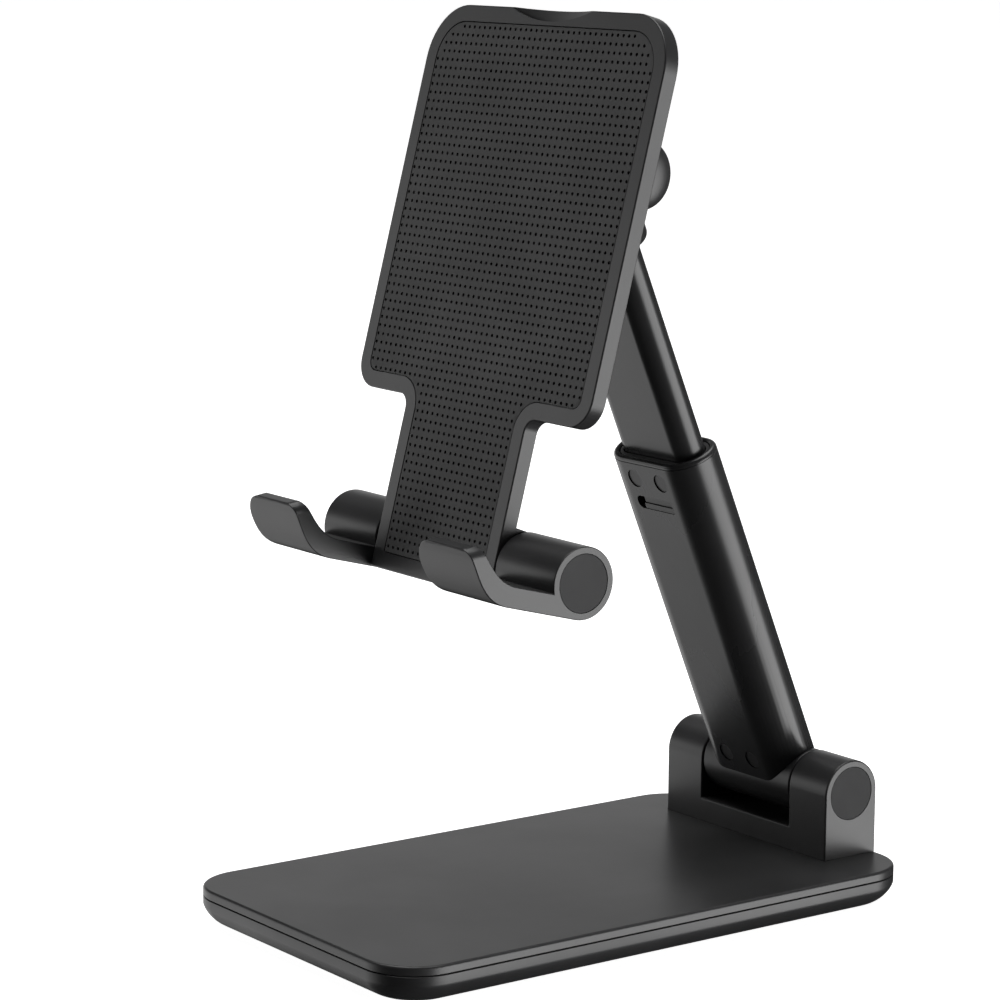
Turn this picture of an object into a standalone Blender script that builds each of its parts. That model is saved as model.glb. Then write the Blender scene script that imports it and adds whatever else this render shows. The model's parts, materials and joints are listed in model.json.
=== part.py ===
"""Folding phone stand: a weighted base, a telescopic arm and a tilting holder with two fold-up hooks.

Frame: origin at the centre of the base's underside, +X to the right, +Y to the back, +Z up.
Every piece is drawn straight, in the frame of the body that carries it:
  base frame    the world frame
  arm frame     origin on the base hinge axis, +Z up along the arm, +Y out of its back
  holder frame  origin on the hook hinge axis, +Z up the plate, +Y out of its back
"""
import bpy
import bmesh
from math import acos, asin, atan2, cos, pi, radians, sin, sqrt
from mathutils import Vector

MM = 0.001

# Base
BASE_WIDTH = 72.0 * MM
BASE_LENGTH = 121.0 * MM
BASE_HEIGHT = 7.95 * MM
BASE_CORNER = 10.5 * MM
SEAM_HEIGHT = 6.10 * MM          # top of the bottom shell, just under the top cover
RIM_BOTTOM = 4.50 * MM           # where the underside starts to slope in
UNDERSIDE_INSET = 4.80 * MM
SEAM_GAP = 0.15 * MM
FOOT_CLEARANCE = 0.50 * MM       # how far the rubber foot stands proud of the shell
BASE_SCREW_X = 24.0 * MM
BASE_SCREW_Y = (-47.0 * MM, 33.0 * MM)

FOOT_INSET = 6.2 * MM
FOOT_TOP = 0.8 * MM

# Base hinge
HINGE_Y = 54.0 * MM
HINGE_Z = 20.5 * MM
BLOCK_BOTTOM = 7.6 * MM          # the block's foot sits in a socket in the top cover
BLOCK_SCREW_X = 18.5 * MM
BLOCK_SCREW_Y = 51.0 * MM
CAP_SEAT = 1.3 * MM              # depth of the recess that takes an end cap
HARDWARE_FACE = 17.6 * MM        # where the bolt head and the spring washer bear on the ears
WASHER_RECESS = 0.6 * MM
WASHER_RADIUS = 4.6 * MM
WASHER_SEAT = 4.8 * MM
SPRING_RADIUS = 4.4 * MM
BARREL_RADIUS = 6.5 * MM
EAR_OUTER = 24.1 * MM
EAR_INNER = 13.26 * MM
NOTCH_BOTTOM = 12.7 * MM
NOTCH_WALL_Y = 5.3 * MM          # inner face of the notch's low rear wall, behind the hinge axis
NOTCH_WALL_TOP = 16.5 * MM
PIVOT_RADIUS = 2.0 * MM
PIVOT_HOLE = 2.15 * MM
CAP_RADIUS = 5.25 * MM
BOLT_HEAD_RADIUS = 4.0 * MM
NUT_FLATS = 7.0 * MM

# Arm
ARM_LEAN = radians(22.9)
SLEEVE_WIDTH = 24.85 * MM
SLEEVE_DEPTH = 12.04 * MM
SLEEVE_WALL = 1.2 * MM
SLEEVE_TOP = 73.0 * MM
SLEEVE_RIM = 0.9 * MM            # rounding of the sleeve's open mouth
BARREL_HALF = 13.0 * MM
ARM_BARREL_RADIUS = 6.35 * MM
SLEEVE_SADDLE = 6.5 * MM         # hollow that ends the sleeve over the barrel
TONGUE_TOP = 11.2 * MM
BUSH_BOTTOM = 58.6 * MM
BUSH_TOP = 72.2 * MM
TUBE_WIDTH = 20.9 * MM
TUBE_DEPTH = 7.0 * MM
TUBE_WALL = 1.0 * MM
TUBE_BOTTOM = 58.1 * MM
TUBE_TOP = 126.5 * MM
HEAD_BOTTOM = 116.0 * MM
HEAD_ROUNDING = 1.8 * MM
HEAD_AXIS = 131.9 * MM
HEAD_PIN_Z = 123.5 * MM
BUTTON_X = 3.9 * MM              # half the spacing of the paired round buttons
BUTTON_RADIUS = 1.85 * MM
BUTTON_POCKET = 0.6 * MM
LOW_BUTTON_Z = 6.5 * MM
HIGH_BUTTON_Z = 68.67 * MM
PIN_RADIUS = 1.0 * MM
PIN_HOLE = 1.2 * MM
SLOT_X = (-5.3 * MM, 5.3 * MM)
SLOT_Z = (62.15 * MM, 64.9 * MM)
SLOT_SPLIT = 63.45 * MM           # between the two friction leaves seen in the slot
LEAF_START = -3.15 * MM
GLIDE_Z = (56.0 * MM, 57.8 * MM)

# Holder
HOLDER_LEAN = radians(14.76)
PLATE_FRONT = -6.5 * MM
PLATE_THICKNESS = 3.13 * MM
PLATE_BACK = PLATE_FRONT + PLATE_THICKNESS
WIDE_HALF = 35.92 * MM
NECK_HALF = 18.58 * MM
PLATE_TOP = 100.44 * MM
PLATE_SHOULDER = 26.3 * MM
PLATE_BOTTOM = -6.5 * MM
TOP_CORNER = 10.5 * MM
SHOULDER_CORNER = 5.3 * MM
NECK_FILLET = 2.6 * MM
KNUCKLE_RADIUS = 6.4 * MM
KNUCKLE_OUTER = NECK_HALF - 0.05 * MM
KNUCKLE_RISE = 0.6 * MM
PAD_INSET = 3.3 * MM
PAD_THICKNESS = 1.0 * MM
PAD_GAP = 0.25 * MM
SCOOP_HALF = 12.5 * MM
SCOOP_DROP = 2.4 * MM
SCOOP_DEPTH = 2.0 * MM
TILT_Z = 73.6 * MM               # tilt axis in the holder frame
TILT_Y = 5.63 * MM
LUG_OUTER = 20.5 * MM
LUG_BEARING = 16.6 * MM
DOME_FULLNESS = 0.8              # 1 is an ellipse; less is a flatter crown with a rounder rim
DOME_SPIGOT = 4.5 * MM
DOME_TIP = 22.9 * MM
BRACKET_Z = (65.5 * MM, 81.7 * MM)
BRACKET_THICKNESS = 1.6 * MM
BRACKET_SCREW_X = 17.0 * MM

# Hooks
HOOK_INNER = 18.95 * MM
HOOK_OUTER = 36.3 * MM
HOOK_BARREL = 6.6 * MM
HOOK_WEB_TOP = -2.8 * MM
HOOK_BEARING = 30.5 * MM         # where the pin's spring washer bears inside the barrel
HOOK_TIP = (-26.485 * MM, 1.843 * MM)
HOOK_EDGE = (-24.01 * MM, 2.90 * MM)
LIP_SLOPE = radians(134.4)       # the lip's direction in (y, z), from the web to the tip
LIP_CORNER_LEFT = 5.9 * MM
LIP_CORNER_RIGHT = 2.3 * MM
HOOK_CAP_RADIUS = 5.35 * MM

CLEARANCE = 0.2 * MM

COLOURS = {
    "black_abs": ((0.030, 0.030, 0.032), 0.45, 0.0),
    "satin_black": ((0.045, 0.045, 0.047), 0.35, 0.0),
    "anodised_black": ((0.040, 0.040, 0.042), 0.30, 0.6),
    "soft_black_rubber": ((0.040, 0.040, 0.040), 0.80, 0.0),
    "grey_cap": ((0.070, 0.070, 0.072), 0.50, 0.0),
    "steel": ((0.550, 0.550, 0.560), 0.30, 1.0),
    "black_acetal": ((0.035, 0.035, 0.036), 0.35, 0.0),
}


# ---------------------------------------------------------------- outlines

def arc(centre, radius, start, end, steps):
    """Points on an arc, both ends included; angles in radians."""
    points = []
    for i in range(steps + 1):
        angle = start + (end - start) * i / steps
        points.append((centre[0] + radius * cos(angle), centre[1] + radius * sin(angle)))
    return points


def circle(radius, steps, centre=(0.0, 0.0)):
    return arc(centre, radius, 0.0, 2 * pi, steps)[:-1]


def filleted(corners, steps=6):
    """A closed outline from (x, y, fillet radius) corners."""
    points = []
    count = len(corners)
    for i, (x, y, radius) in enumerate(corners):
        here = Vector((x, y))
        if radius == 0.0:
            points.append((x, y))
            continue
        before = (Vector(corners[i - 1][:2]) - here).normalized()
        after = (Vector(corners[(i + 1) % count][:2]) - here).normalized()
        half = acos(max(-1.0, min(1.0, before.dot(after)))) / 2
        centre = here + (before + after).normalized() * (radius / sin(half))
        reach = (radius * radius / (sin(half) ** 2) - radius * radius) ** 0.5
        first = here + before * reach - centre
        last = here + after * reach - centre
        start = atan2(first.y, first.x)
        turn = atan2(last.y, last.x) - start
        turn = (turn + pi) % (2 * pi) - pi
        points += arc(centre, radius, start, start + turn, steps)
    return points


def rounded_box(width, length, radius, steps=5, centre=(0.0, 0.0)):
    x, y = width / 2, length / 2
    corners = [(-x, -y, radius), (x, -y, radius), (x, y, radius), (-x, y, radius)]
    return filleted([(px + centre[0], py + centre[1], r) for px, py, r in corners], steps)


def stadium(width, depth, steps=6):
    """A flat bar's section with fully round sides, in (x, y)."""
    reach = (width - depth) / 2
    right = arc((reach, 0.0), depth / 2, -pi / 2, pi / 2, steps)
    left = arc((-reach, 0.0), depth / 2, pi / 2, 3 * pi / 2, steps)
    return right + left


def bezier(p0, p1, p2, p3, steps):
    points = []
    for i in range(steps + 1):
        t = i / steps
        weights = ((1 - t) ** 3, 3 * t * (1 - t) ** 2, 3 * t * t * (1 - t), t ** 3)
        points.append(tuple(sum(w * p[k] for w, p in zip(weights, (p0, p1, p2, p3))) for k in (0, 1)))
    return points


# ---------------------------------------------------------------- solids

def finish_mesh(bm, name):
    bmesh.ops.remove_doubles(bm, verts=bm.verts, dist=1e-7)
    bmesh.ops.recalc_face_normals(bm, faces=bm.faces)
    mesh = bpy.data.meshes.new(name)
    bm.to_mesh(mesh)
    bm.free()
    obj = bpy.data.objects.new(name, mesh)
    bpy.context.collection.objects.link(obj)
    return obj


def loft(sections, name="piece"):
    """A closed solid through equal-length rings of points."""
    bm = bmesh.new()
    rings = [[bm.verts.new(point) for point in ring] for ring in sections]
    for lower, upper in zip(rings, rings[1:]):
        for i in range(len(lower)):
            j = (i + 1) % len(lower)
            bm.faces.new((lower[i], lower[j], upper[j], upper[i]))
    bm.faces.new(list(reversed(rings[0])))
    bm.faces.new(rings[-1])
    return finish_mesh(bm, name)


def prism(outline, low, high, axis="Z", name="piece"):
    """Extrude an outline along an axis: (y, z) along X, (x, z) along Y, (x, y) along Z."""
    place = {
        "X": lambda a, b, level: (level, a, b),
        "Y": lambda a, b, level: (a, level, b),
        "Z": lambda a, b, level: (a, b, level),
    }[axis]
    return loft([[place(a, b, level) for a, b in outline] for level in (low, high)], name)


def turned(profile, segments=16, centre=(0.0, 0.0), name="piece"):
    """Spin a closed (radius, x) profile about an axis parallel to X at (y, z) = centre."""
    bm = bmesh.new()
    verts = [bm.verts.new((x, centre[0] + radius, centre[1])) for radius, x in profile]
    edges = [bm.edges.new((a, b)) for a, b in zip(verts, verts[1:] + verts[:1])]
    bmesh.ops.spin(bm, geom=verts + edges, cent=(0.0, centre[0], centre[1]), axis=(1.0, 0.0, 0.0),
                   angle=2 * pi, steps=segments, use_merge=True)
    bmesh.ops.dissolve_degenerate(bm, dist=1e-7, edges=bm.edges)
    loose = [edge for edge in bm.edges if not edge.link_faces]
    bmesh.ops.delete(bm, geom=loose, context="EDGES")
    return finish_mesh(bm, name)


def rod(radius, low, high, axis="X", centre=(0.0, 0.0), segments=16):
    return prism(circle(radius, segments, centre), low, high, axis)


def box(low, high):
    x0, y0, z0 = low
    x1, y1, z1 = high
    return prism([(x0, y0), (x1, y0), (x1, y1), (x0, y1)], z0, z1)


def combine(obj, tool, operation):
    """Boolean a tool into an object and drop the tool."""
    modifier = obj.modifiers.new(operation.lower(), "BOOLEAN")
    modifier.operation = operation
    modifier.solver = "EXACT"
    modifier.object = tool
    graph = bpy.context.evaluated_depsgraph_get()
    result = bpy.data.meshes.new_from_object(obj.evaluated_get(graph))
    obj.modifiers.remove(modifier)
    spent = obj.data
    obj.data = result
    bpy.data.meshes.remove(spent)
    bpy.data.objects.remove(tool)
    return obj


def cut(obj, *tools):
    for tool in tools:
        combine(obj, tool, "DIFFERENCE")
    return obj


def join(obj, *tools):
    for tool in tools:
        combine(obj, tool, "UNION")
    return obj


def washer(inner, outer, low, high, dish=0.0, name="piece"):
    """A flat or dished ring about X; the outer edge stands off by the dish."""
    profile = [(inner, low), (outer, low + dish), (outer, high + dish), (inner, high)]
    return turned(profile, name=name)


def hex_nut(across_flats, hole, low, high):
    corner_radius = across_flats / 2 / cos(pi / 6)
    nut = prism(circle(corner_radius, 6), low, high, "X")
    return cut(nut, rod(hole, low - MM, high + MM))


def bolt(shank_end, head_start, head_end, head_radius, shank_radius=PIVOT_RADIUS):
    """A shank from shank_end to head_start with a slightly domed head, along X."""
    side = 1.0 if head_end > head_start else -1.0
    crown = 0.4 * MM * side
    profile = [
        (0.0, shank_end), (shank_radius, shank_end), (shank_radius, head_start),
        (head_radius, head_start), (head_radius, head_end - crown),
        (head_radius * 0.8, head_end), (0.0, head_end),
    ]
    return turned(profile)


def cap(radius, inner_face, outer_face):
    """A flush end disc with a small edge chamfer, along X."""
    side = 1.0 if outer_face > inner_face else -1.0
    edge = 0.2 * MM
    profile = [(0.0, inner_face), (radius, inner_face), (radius, outer_face - edge * side),
               (radius - edge, outer_face), (0.0, outer_face)]
    return turned(profile, 24)


# ---------------------------------------------------------------- scene

def clear_scene():
    for obj in list(bpy.data.objects):
        bpy.data.objects.remove(obj)


def make_materials():
    materials = {}
    for name, (colour, roughness, metallic) in COLOURS.items():
        material = bpy.data.materials.new(name)
        material.use_nodes = True
        shader = material.node_tree.nodes["Principled BSDF"]
        shader.inputs["Base Color"].default_value = (*colour, 1.0)
        shader.inputs["Roughness"].default_value = roughness
        shader.inputs["Metallic"].default_value = metallic
        materials[name] = material
    return materials


def make_frame(name, location, lean=0.0, parent=None):
    """An empty on a joint axis, in its parent's frame."""
    frame = bpy.data.objects.new(name, None)
    frame.empty_display_size = 0.01
    frame.location = location
    frame.rotation_euler = (lean, 0.0, 0.0)
    frame.parent = parent
    bpy.context.collection.objects.link(frame)
    return frame


def add(obj, name, material, frame=None):
    """Name a piece, give it its finish and hang it in its frame."""
    obj.name = name
    obj.data.name = name
    obj.data.materials.clear()
    obj.data.materials.append(MATERIALS[material])
    obj.data.shade_smooth()
    obj.data.set_sharp_from_angle(angle=radians(32))
    obj.parent = frame
    return obj


def mirrored(x, side):
    """A coordinate along X on the left (-1) or the right (+1)."""
    return x * side


def span(inner, outer, side):
    """The two ends of a stretch along X on one side, lower end first."""
    return sorted((mirrored(inner, side), mirrored(outer, side)))


# ---------------------------------------------------------------- base

def base_outline(inset, steps=5):
    return rounded_box(BASE_WIDTH - 2 * inset, BASE_LENGTH - 2 * inset, BASE_CORNER - inset * 0.9, steps)


def ring_at(outline, height):
    return [(x, y, height) for x, y in outline]


def screw_spots():
    return [(sx * BASE_SCREW_X, y) for y in BASE_SCREW_Y for sx in (-1, 1)]


def make_base():
    edge = 0.35 * MM
    cover_bottom = SEAM_HEIGHT + SEAM_GAP
    cover = loft([
        ring_at(base_outline(0.0), cover_bottom),
        ring_at(base_outline(0.0), BASE_HEIGHT - edge),
        ring_at(base_outline(edge), BASE_HEIGHT),
    ])
    boss_bottom = 3.7 * MM
    for spot in screw_spots():
        join(cover, rod(2.6 * MM, boss_bottom, cover_bottom + 0.5 * MM, "Z", spot, 16))
    for spot in screw_spots():
        cut(cover, rod(0.95 * MM, boss_bottom - MM, 6.9 * MM, "Z", spot, 10))
    socket = rounded_box(2 * (EAR_OUTER + CLEARANCE), 2 * (BARREL_RADIUS + CLEARANCE) + MM, 0.4 * MM, 2,
                         (0.0, HINGE_Y + MM / 2))
    cut(cover, prism(socket, BLOCK_BOTTOM - 0.25 * MM, BASE_HEIGHT + MM))
    for side in (-1, 1):
        spot = (side * BLOCK_SCREW_X, BLOCK_SCREW_Y)
        cut(cover, rod(1.3 * MM, cover_bottom - MM, BASE_HEIGHT, "Z", spot, 10))
    add(cover, "base_top_cover", "satin_black")

    slope = [(1.2 * MM, 2.6 * MM), (2.9 * MM, 1.2 * MM), (UNDERSIDE_INSET, FOOT_CLEARANCE)]
    sections = [ring_at(base_outline(inset), height) for inset, height in reversed(slope)]
    sections.append(ring_at(base_outline(0.0), RIM_BOTTOM))
    sections.append(ring_at(base_outline(0.0), SEAM_HEIGHT))
    shell = loft(sections)
    cavity_inset = 6.0 * MM
    floor_top = 2.0 * MM
    cut(shell, prism(base_outline(cavity_inset), floor_top, SEAM_HEIGHT + MM))
    cut(shell, prism(base_outline(FOOT_INSET - 0.3 * MM), -MM, FOOT_TOP + 0.2 * MM))
    for spot in screw_spots():
        join(shell, rod(3.5 * MM, floor_top - 0.5 * MM, 3.4 * MM, "Z", spot, 16))
    for spot in screw_spots():
        cut(shell, rod(2.4 * MM, -MM, 2.4 * MM, "Z", spot, 16), rod(1.2 * MM, 2 * MM, 5 * MM, "Z", spot, 10))
    add(shell, "base_bottom_shell", "black_abs")

    weight = prism(rounded_box(58.8 * MM, 93.0 * MM, 5.0 * MM, 4, (0.0, -7.0 * MM)), 2.3 * MM, 5.7 * MM)
    for spot in screw_spots():
        cut(weight, rod(4.0 * MM, MM, 7 * MM, "Z", spot, 20))
    add(weight, "base_steel_weight", "steel")

    foot = prism(base_outline(FOOT_INSET), 0.0, FOOT_TOP)
    add(foot, "base_foot_pad", "soft_black_rubber")

    for number, spot in enumerate(screw_spots(), 1):
        screw = rod(2.1 * MM, 1.3 * MM, 2.2 * MM, "Z", spot, 16)
        join(screw, rod(0.8 * MM, 1.8 * MM, 6.5 * MM, "Z", spot, 10))
        add(screw, f"base_screw_{number}", "steel")


def make_hinge_block():
    centre = (HINGE_Y, HINGE_Z)
    profile = [(HINGE_Y - BARREL_RADIUS, BLOCK_BOTTOM), (HINGE_Y + BARREL_RADIUS, BLOCK_BOTTOM)]
    profile += arc(centre, BARREL_RADIUS, 0.0, pi, 16)
    block = prism(profile, -EAR_OUTER, EAR_OUTER, "X")
    ahead, behind, above = HINGE_Y - 10 * MM, HINGE_Y + 10 * MM, HINGE_Z + 10 * MM
    wall = HINGE_Y + NOTCH_WALL_Y
    notch = [(ahead, above), (ahead, NOTCH_BOTTOM), (wall, NOTCH_BOTTOM), (wall, NOTCH_WALL_TOP),
             (behind, NOTCH_WALL_TOP), (behind, above)]
    cut(block, prism(notch, -EAR_INNER, EAR_INNER, "X"), rod(PIVOT_HOLE, -30 * MM, 30 * MM, "X", centre))
    for side in (-1, 1):
        seat = span(EAR_OUTER - CAP_SEAT, EAR_OUTER + MM, side)
        pocket = span(HARDWARE_FACE, EAR_OUTER, side)
        cut(block, rod(CAP_RADIUS + CLEARANCE, *seat, "X", centre, 24))
        cut(block, rod(WASHER_SEAT, *pocket, "X", centre))
        spot = (mirrored(BLOCK_SCREW_X, side), BLOCK_SCREW_Y)
        cut(block, rod(1.15 * MM, BLOCK_BOTTOM - MM, 12.5 * MM, "Z", spot, 10))
    add(block, "hinge_block", "satin_black")

    for side, word in ((-1, "left"), (1, "right")):
        spot = (mirrored(BLOCK_SCREW_X, side), BLOCK_SCREW_Y)
        screw = rod(2.4 * MM, 4.9 * MM, 6.05 * MM, "Z", spot, 16)
        join(screw, rod(1.0 * MM, 5.5 * MM, 12.0 * MM, "Z", spot, 10))
        add(screw, f"hinge_block_screw_{word}", "steel")


def make_base_pivot(hinge):
    """Bolt, dished spring washer, nut and caps, in a frame on the base hinge axis."""
    face = HARDWARE_FACE + CLEARANCE
    add(bolt(-22.3 * MM, face, face + 3.3 * MM, BOLT_HEAD_RADIUS), "base_pivot_bolt", "steel", hinge)
    spring = washer(PIVOT_HOLE, SPRING_RADIUS, -face - 0.7 * MM, -face, -0.35 * MM)
    add(spring, "base_pivot_spring_washer", "steel", hinge)
    add(hex_nut(NUT_FLATS, PIVOT_HOLE, -22.1 * MM, -19.1 * MM), "base_pivot_nut", "steel", hinge)
    for side, word in ((-1, "left"), (1, "right")):
        seat = mirrored(EAR_OUTER - CAP_SEAT + CLEARANCE, side)
        add(cap(CAP_RADIUS, seat, mirrored(EAR_OUTER, side)), f"base_pivot_cap_{word}", "grey_cap", hinge)


# ---------------------------------------------------------------- arm

def bore_barrel(obj, centre=(0.0, 0.0)):
    """Bore the arm's hinge barrel and recess both ends for a washer."""
    cut(obj, rod(PIVOT_HOLE, -BARREL_HALF - MM, BARREL_HALF + MM, "X", centre))
    for side in (-1, 1):
        recess = span(BARREL_HALF - WASHER_RECESS, BARREL_HALF + MM, side)
        cut(obj, rod(WASHER_SEAT, *recess, "X", centre))
    return obj


def pivot_washers(name, frame, height=0.0):
    """Two plain friction washers between a barrel and its ears."""
    for side, word in ((-1, "left"), (1, "right")):
        low, high = span(BARREL_HALF - WASHER_RECESS + 0.15 * MM, EAR_INNER - 0.15 * MM, side)
        ring = turned([(PIVOT_HOLE, low), (WASHER_RADIUS, low), (WASHER_RADIUS, high), (PIVOT_HOLE, high)],
                      centre=(0.0, height))
        add(ring, f"{name}_{word}", "black_acetal", frame)


def button_holes(radius, height, deep):
    """A pair of round cutters from the front of the arm to a given depth."""
    return [rod(radius, -SLEEVE_DEPTH, deep, "Y", (side * BUTTON_X, height), 16) for side in (-1, 1)]


def tube(width, depth, wall, low, high):
    shell = prism(stadium(width, depth), low, high)
    return cut(shell, prism(stadium(width - 2 * wall, depth - 2 * wall), low - MM, high + MM))


def slot_outline():
    """The window in the sleeve's front in (x, z): round on the left, nearly square on the right."""
    round_end = (SLOT_Z[1] - SLOT_Z[0]) / 2 - 0.05 * MM
    corner = 0.25 * MM
    return filleted([(SLOT_X[0], SLOT_Z[0], round_end), (SLOT_X[1], SLOT_Z[0], corner),
                     (SLOT_X[1], SLOT_Z[1], corner), (SLOT_X[0], SLOT_Z[1], round_end)], 5)


def headed_pins(name, height, front, tip, frame):
    """Two smooth-headed pins pressed in from the front of the arm."""
    for side, word in ((-1, "left"), (1, "right")):
        spot = (side * BUTTON_X, height)
        pin = rod(BUTTON_RADIUS - 0.1 * MM, front, front + 0.45 * MM, "Y", spot, 16)
        join(pin, rod(PIN_RADIUS, front + 0.2 * MM, tip, "Y", spot, 10))
        add(pin, f"{name}_{word}", "satin_black", frame)


def make_lower_arm(arm):
    front = -SLEEVE_DEPTH / 2
    inner_width = SLEEVE_WIDTH - 2 * SLEEVE_WALL
    inner_depth = SLEEVE_DEPTH - 2 * SLEEVE_WALL

    barrel = rod(ARM_BARREL_RADIUS, -BARREL_HALF, BARREL_HALF, segments=32)
    tongue = prism(stadium(inner_width - 0.6 * MM, inner_depth - 0.6 * MM), 0.0, TONGUE_TOP)
    bore_barrel(join(barrel, tongue))
    cut(barrel, *button_holes(PIN_HOLE, LOW_BUTTON_Z, 0.6 * MM))
    add(barrel, "arm_hinge_barrel", "black_abs", arm)
    pivot_washers("base_pivot_washer", arm)

    sections = [ring_at(stadium(SLEEVE_WIDTH, SLEEVE_DEPTH), 0.0)]
    for i in range(4):
        angle = pi / 6 * i
        inset = SLEEVE_RIM * (1 - cos(angle))
        height = SLEEVE_TOP - SLEEVE_RIM + SLEEVE_RIM * sin(angle)
        sections.append(ring_at(stadium(SLEEVE_WIDTH - 2 * inset, SLEEVE_DEPTH - 2 * inset), height))
    sleeve = loft(sections)
    cut(sleeve, prism(stadium(inner_width, inner_depth), -MM, SLEEVE_TOP + MM))
    cut(sleeve, rod(SLEEVE_SADDLE, -20 * MM, 20 * MM, "X", segments=32))
    cut(sleeve, *button_holes(BUTTON_RADIUS + 0.05 * MM, HIGH_BUTTON_Z, 0.0))
    cut(sleeve, *button_holes(BUTTON_RADIUS + 0.05 * MM, LOW_BUTTON_Z, front + BUTTON_POCKET))
    cut(sleeve, *button_holes(PIN_HOLE, LOW_BUTTON_Z, 0.0))
    cut(sleeve, prism(slot_outline(), -SLEEVE_DEPTH, 0.0, "Y"))
    add(sleeve, "arm_sleeve", "anodised_black", arm)
    headed_pins("arm_barrel_pin", LOW_BUTTON_Z, front + 0.05 * MM, 0.2 * MM, arm)

    gap = 0.2 * MM
    bush = prism(stadium(inner_width - 2 * gap, inner_depth - 2 * gap), BUSH_BOTTOM, BUSH_TOP)
    for side in (-1, 1):
        spot = (side * BUTTON_X, HIGH_BUTTON_Z)
        join(bush, rod(BUTTON_RADIUS - 0.1 * MM, front + 0.35 * MM, -3.9 * MM, "Y", spot, 16))
    play = 0.15 * MM
    split = 0.07 * MM
    leaf_end = SLOT_X[1] - play
    leaf_root = -3.9 * MM
    lower_face, upper_face = front + 0.05 * MM, front + 0.3 * MM
    join(bush, box((LEAF_START, lower_face, SLOT_Z[0] + play), (leaf_end, leaf_root, SLOT_SPLIT - split)))
    join(bush, box((LEAF_START, upper_face, SLOT_SPLIT + split), (leaf_end, leaf_root, SLOT_Z[1] - play)))
    hollow = stadium(TUBE_WIDTH + 2 * gap, TUBE_DEPTH + 2 * gap)
    cut(bush, prism(hollow, BUSH_BOTTOM - MM, BUSH_TOP + MM))
    add(bush, "sleeve_mouth_bush", "black_abs", arm)


def make_inner_arm(arm):
    inner_tube = tube(TUBE_WIDTH, TUBE_DEPTH, TUBE_WALL, TUBE_BOTTOM, TUBE_TOP)
    cut(inner_tube, *button_holes(PIN_HOLE, HEAD_PIN_Z, 0.0))
    add(inner_tube, "inner_tube", "anodised_black", arm)

    glide_width = SLEEVE_WIDTH - 2 * SLEEVE_WALL - 0.5 * MM
    glide_depth = SLEEVE_DEPTH - 2 * SLEEVE_WALL - 0.5 * MM
    glide = prism(stadium(glide_width, glide_depth), *GLIDE_Z)
    plug = stadium(TUBE_WIDTH - 2 * TUBE_WALL - 0.4 * MM, TUBE_DEPTH - 2 * TUBE_WALL - 0.4 * MM)
    join(glide, prism(plug, 57.0 * MM, 64.0 * MM))
    add(glide, "inner_tube_glide", "black_acetal", arm)

    sections = []
    for i in range(5):
        angle = pi / 8 * i
        inset = HEAD_ROUNDING * (1 - sin(angle))
        height = HEAD_BOTTOM + HEAD_ROUNDING * (1 - cos(angle))
        sections.append(ring_at(stadium(SLEEVE_WIDTH - 2 * inset, SLEEVE_DEPTH - 2 * inset), height))
    sections.append(ring_at(stadium(SLEEVE_WIDTH, SLEEVE_DEPTH), HEAD_AXIS))
    head = loft(sections)
    join(head, prism(circle(BARREL_RADIUS, 32, (0.0, HEAD_AXIS)), -BARREL_HALF, BARREL_HALF, "X"))
    bore_barrel(head, (0.0, HEAD_AXIS))
    socket = stadium(TUBE_WIDTH + 0.4 * MM, TUBE_DEPTH + 0.4 * MM)
    cut(head, prism(socket, HEAD_BOTTOM - MM, TUBE_TOP + 0.3 * MM))
    front = -SLEEVE_DEPTH / 2
    cut(head, *button_holes(BUTTON_RADIUS + 0.05 * MM, HEAD_PIN_Z, front + BUTTON_POCKET))
    cut(head, *button_holes(PIN_HOLE, HEAD_PIN_Z, 0.0))
    add(head, "arm_head", "black_abs", arm)
    headed_pins("arm_head_pin", HEAD_PIN_Z, front + 0.05 * MM, -1.6 * MM, arm)
    pivot_washers("head_pivot_washer", arm, HEAD_AXIS)


# ---------------------------------------------------------------- holder

def holder_outline(inset=0.0, steps=5):
    """The plate's T-shaped outline in (x, z), moved in by an inset."""
    wide = WIDE_HALF - inset
    neck = NECK_HALF - inset
    top = PLATE_TOP - inset
    shoulder = PLATE_SHOULDER + inset
    bottom = PLATE_BOTTOM + inset
    outer_corner = max(SHOULDER_CORNER - inset, 0.8 * MM)
    half = [
        (neck, bottom, 0.8 * MM), (neck, shoulder, NECK_FILLET + inset),
        (wide, shoulder, outer_corner), (wide, top, TOP_CORNER - inset),
    ]
    left = [(-x, z, r) for x, z, r in reversed(half)]
    return filleted(half + left, steps)


def scoop_cutter():
    """The shallow finger scoop in the middle of the plate's front top edge."""
    outline_radius = (SCOOP_HALF ** 2 + SCOOP_DROP ** 2) / (2 * SCOOP_DROP)
    floor_radius = (SCOOP_HALF ** 2 + SCOOP_DEPTH ** 2) / (2 * SCOOP_DEPTH)
    middle = PLATE_TOP - SCOOP_DROP + outline_radius
    reach = asin(min(1.0, 1.4 * SCOOP_HALF / outline_radius))
    outline = arc((0.0, middle), outline_radius, -pi / 2 - reach, -pi / 2 + reach, 14)
    scoop = prism(outline, PLATE_FRONT - 3 * MM, PLATE_BACK, "Y")
    floor_centre = PLATE_FRONT + SCOOP_DEPTH - floor_radius
    spread = asin(1.4 * SCOOP_HALF / floor_radius)
    floor = arc((0.0, floor_centre), floor_radius, pi / 2 - spread, pi / 2 + spread, 14)
    return combine(scoop, prism(floor, PLATE_TOP - 10 * MM, PLATE_TOP + 10 * MM), "INTERSECT")


def bracket_spots():
    return [(side * BRACKET_SCREW_X, z) for z in (69.0 * MM, 78.2 * MM) for side in (-1, 1)]


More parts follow.
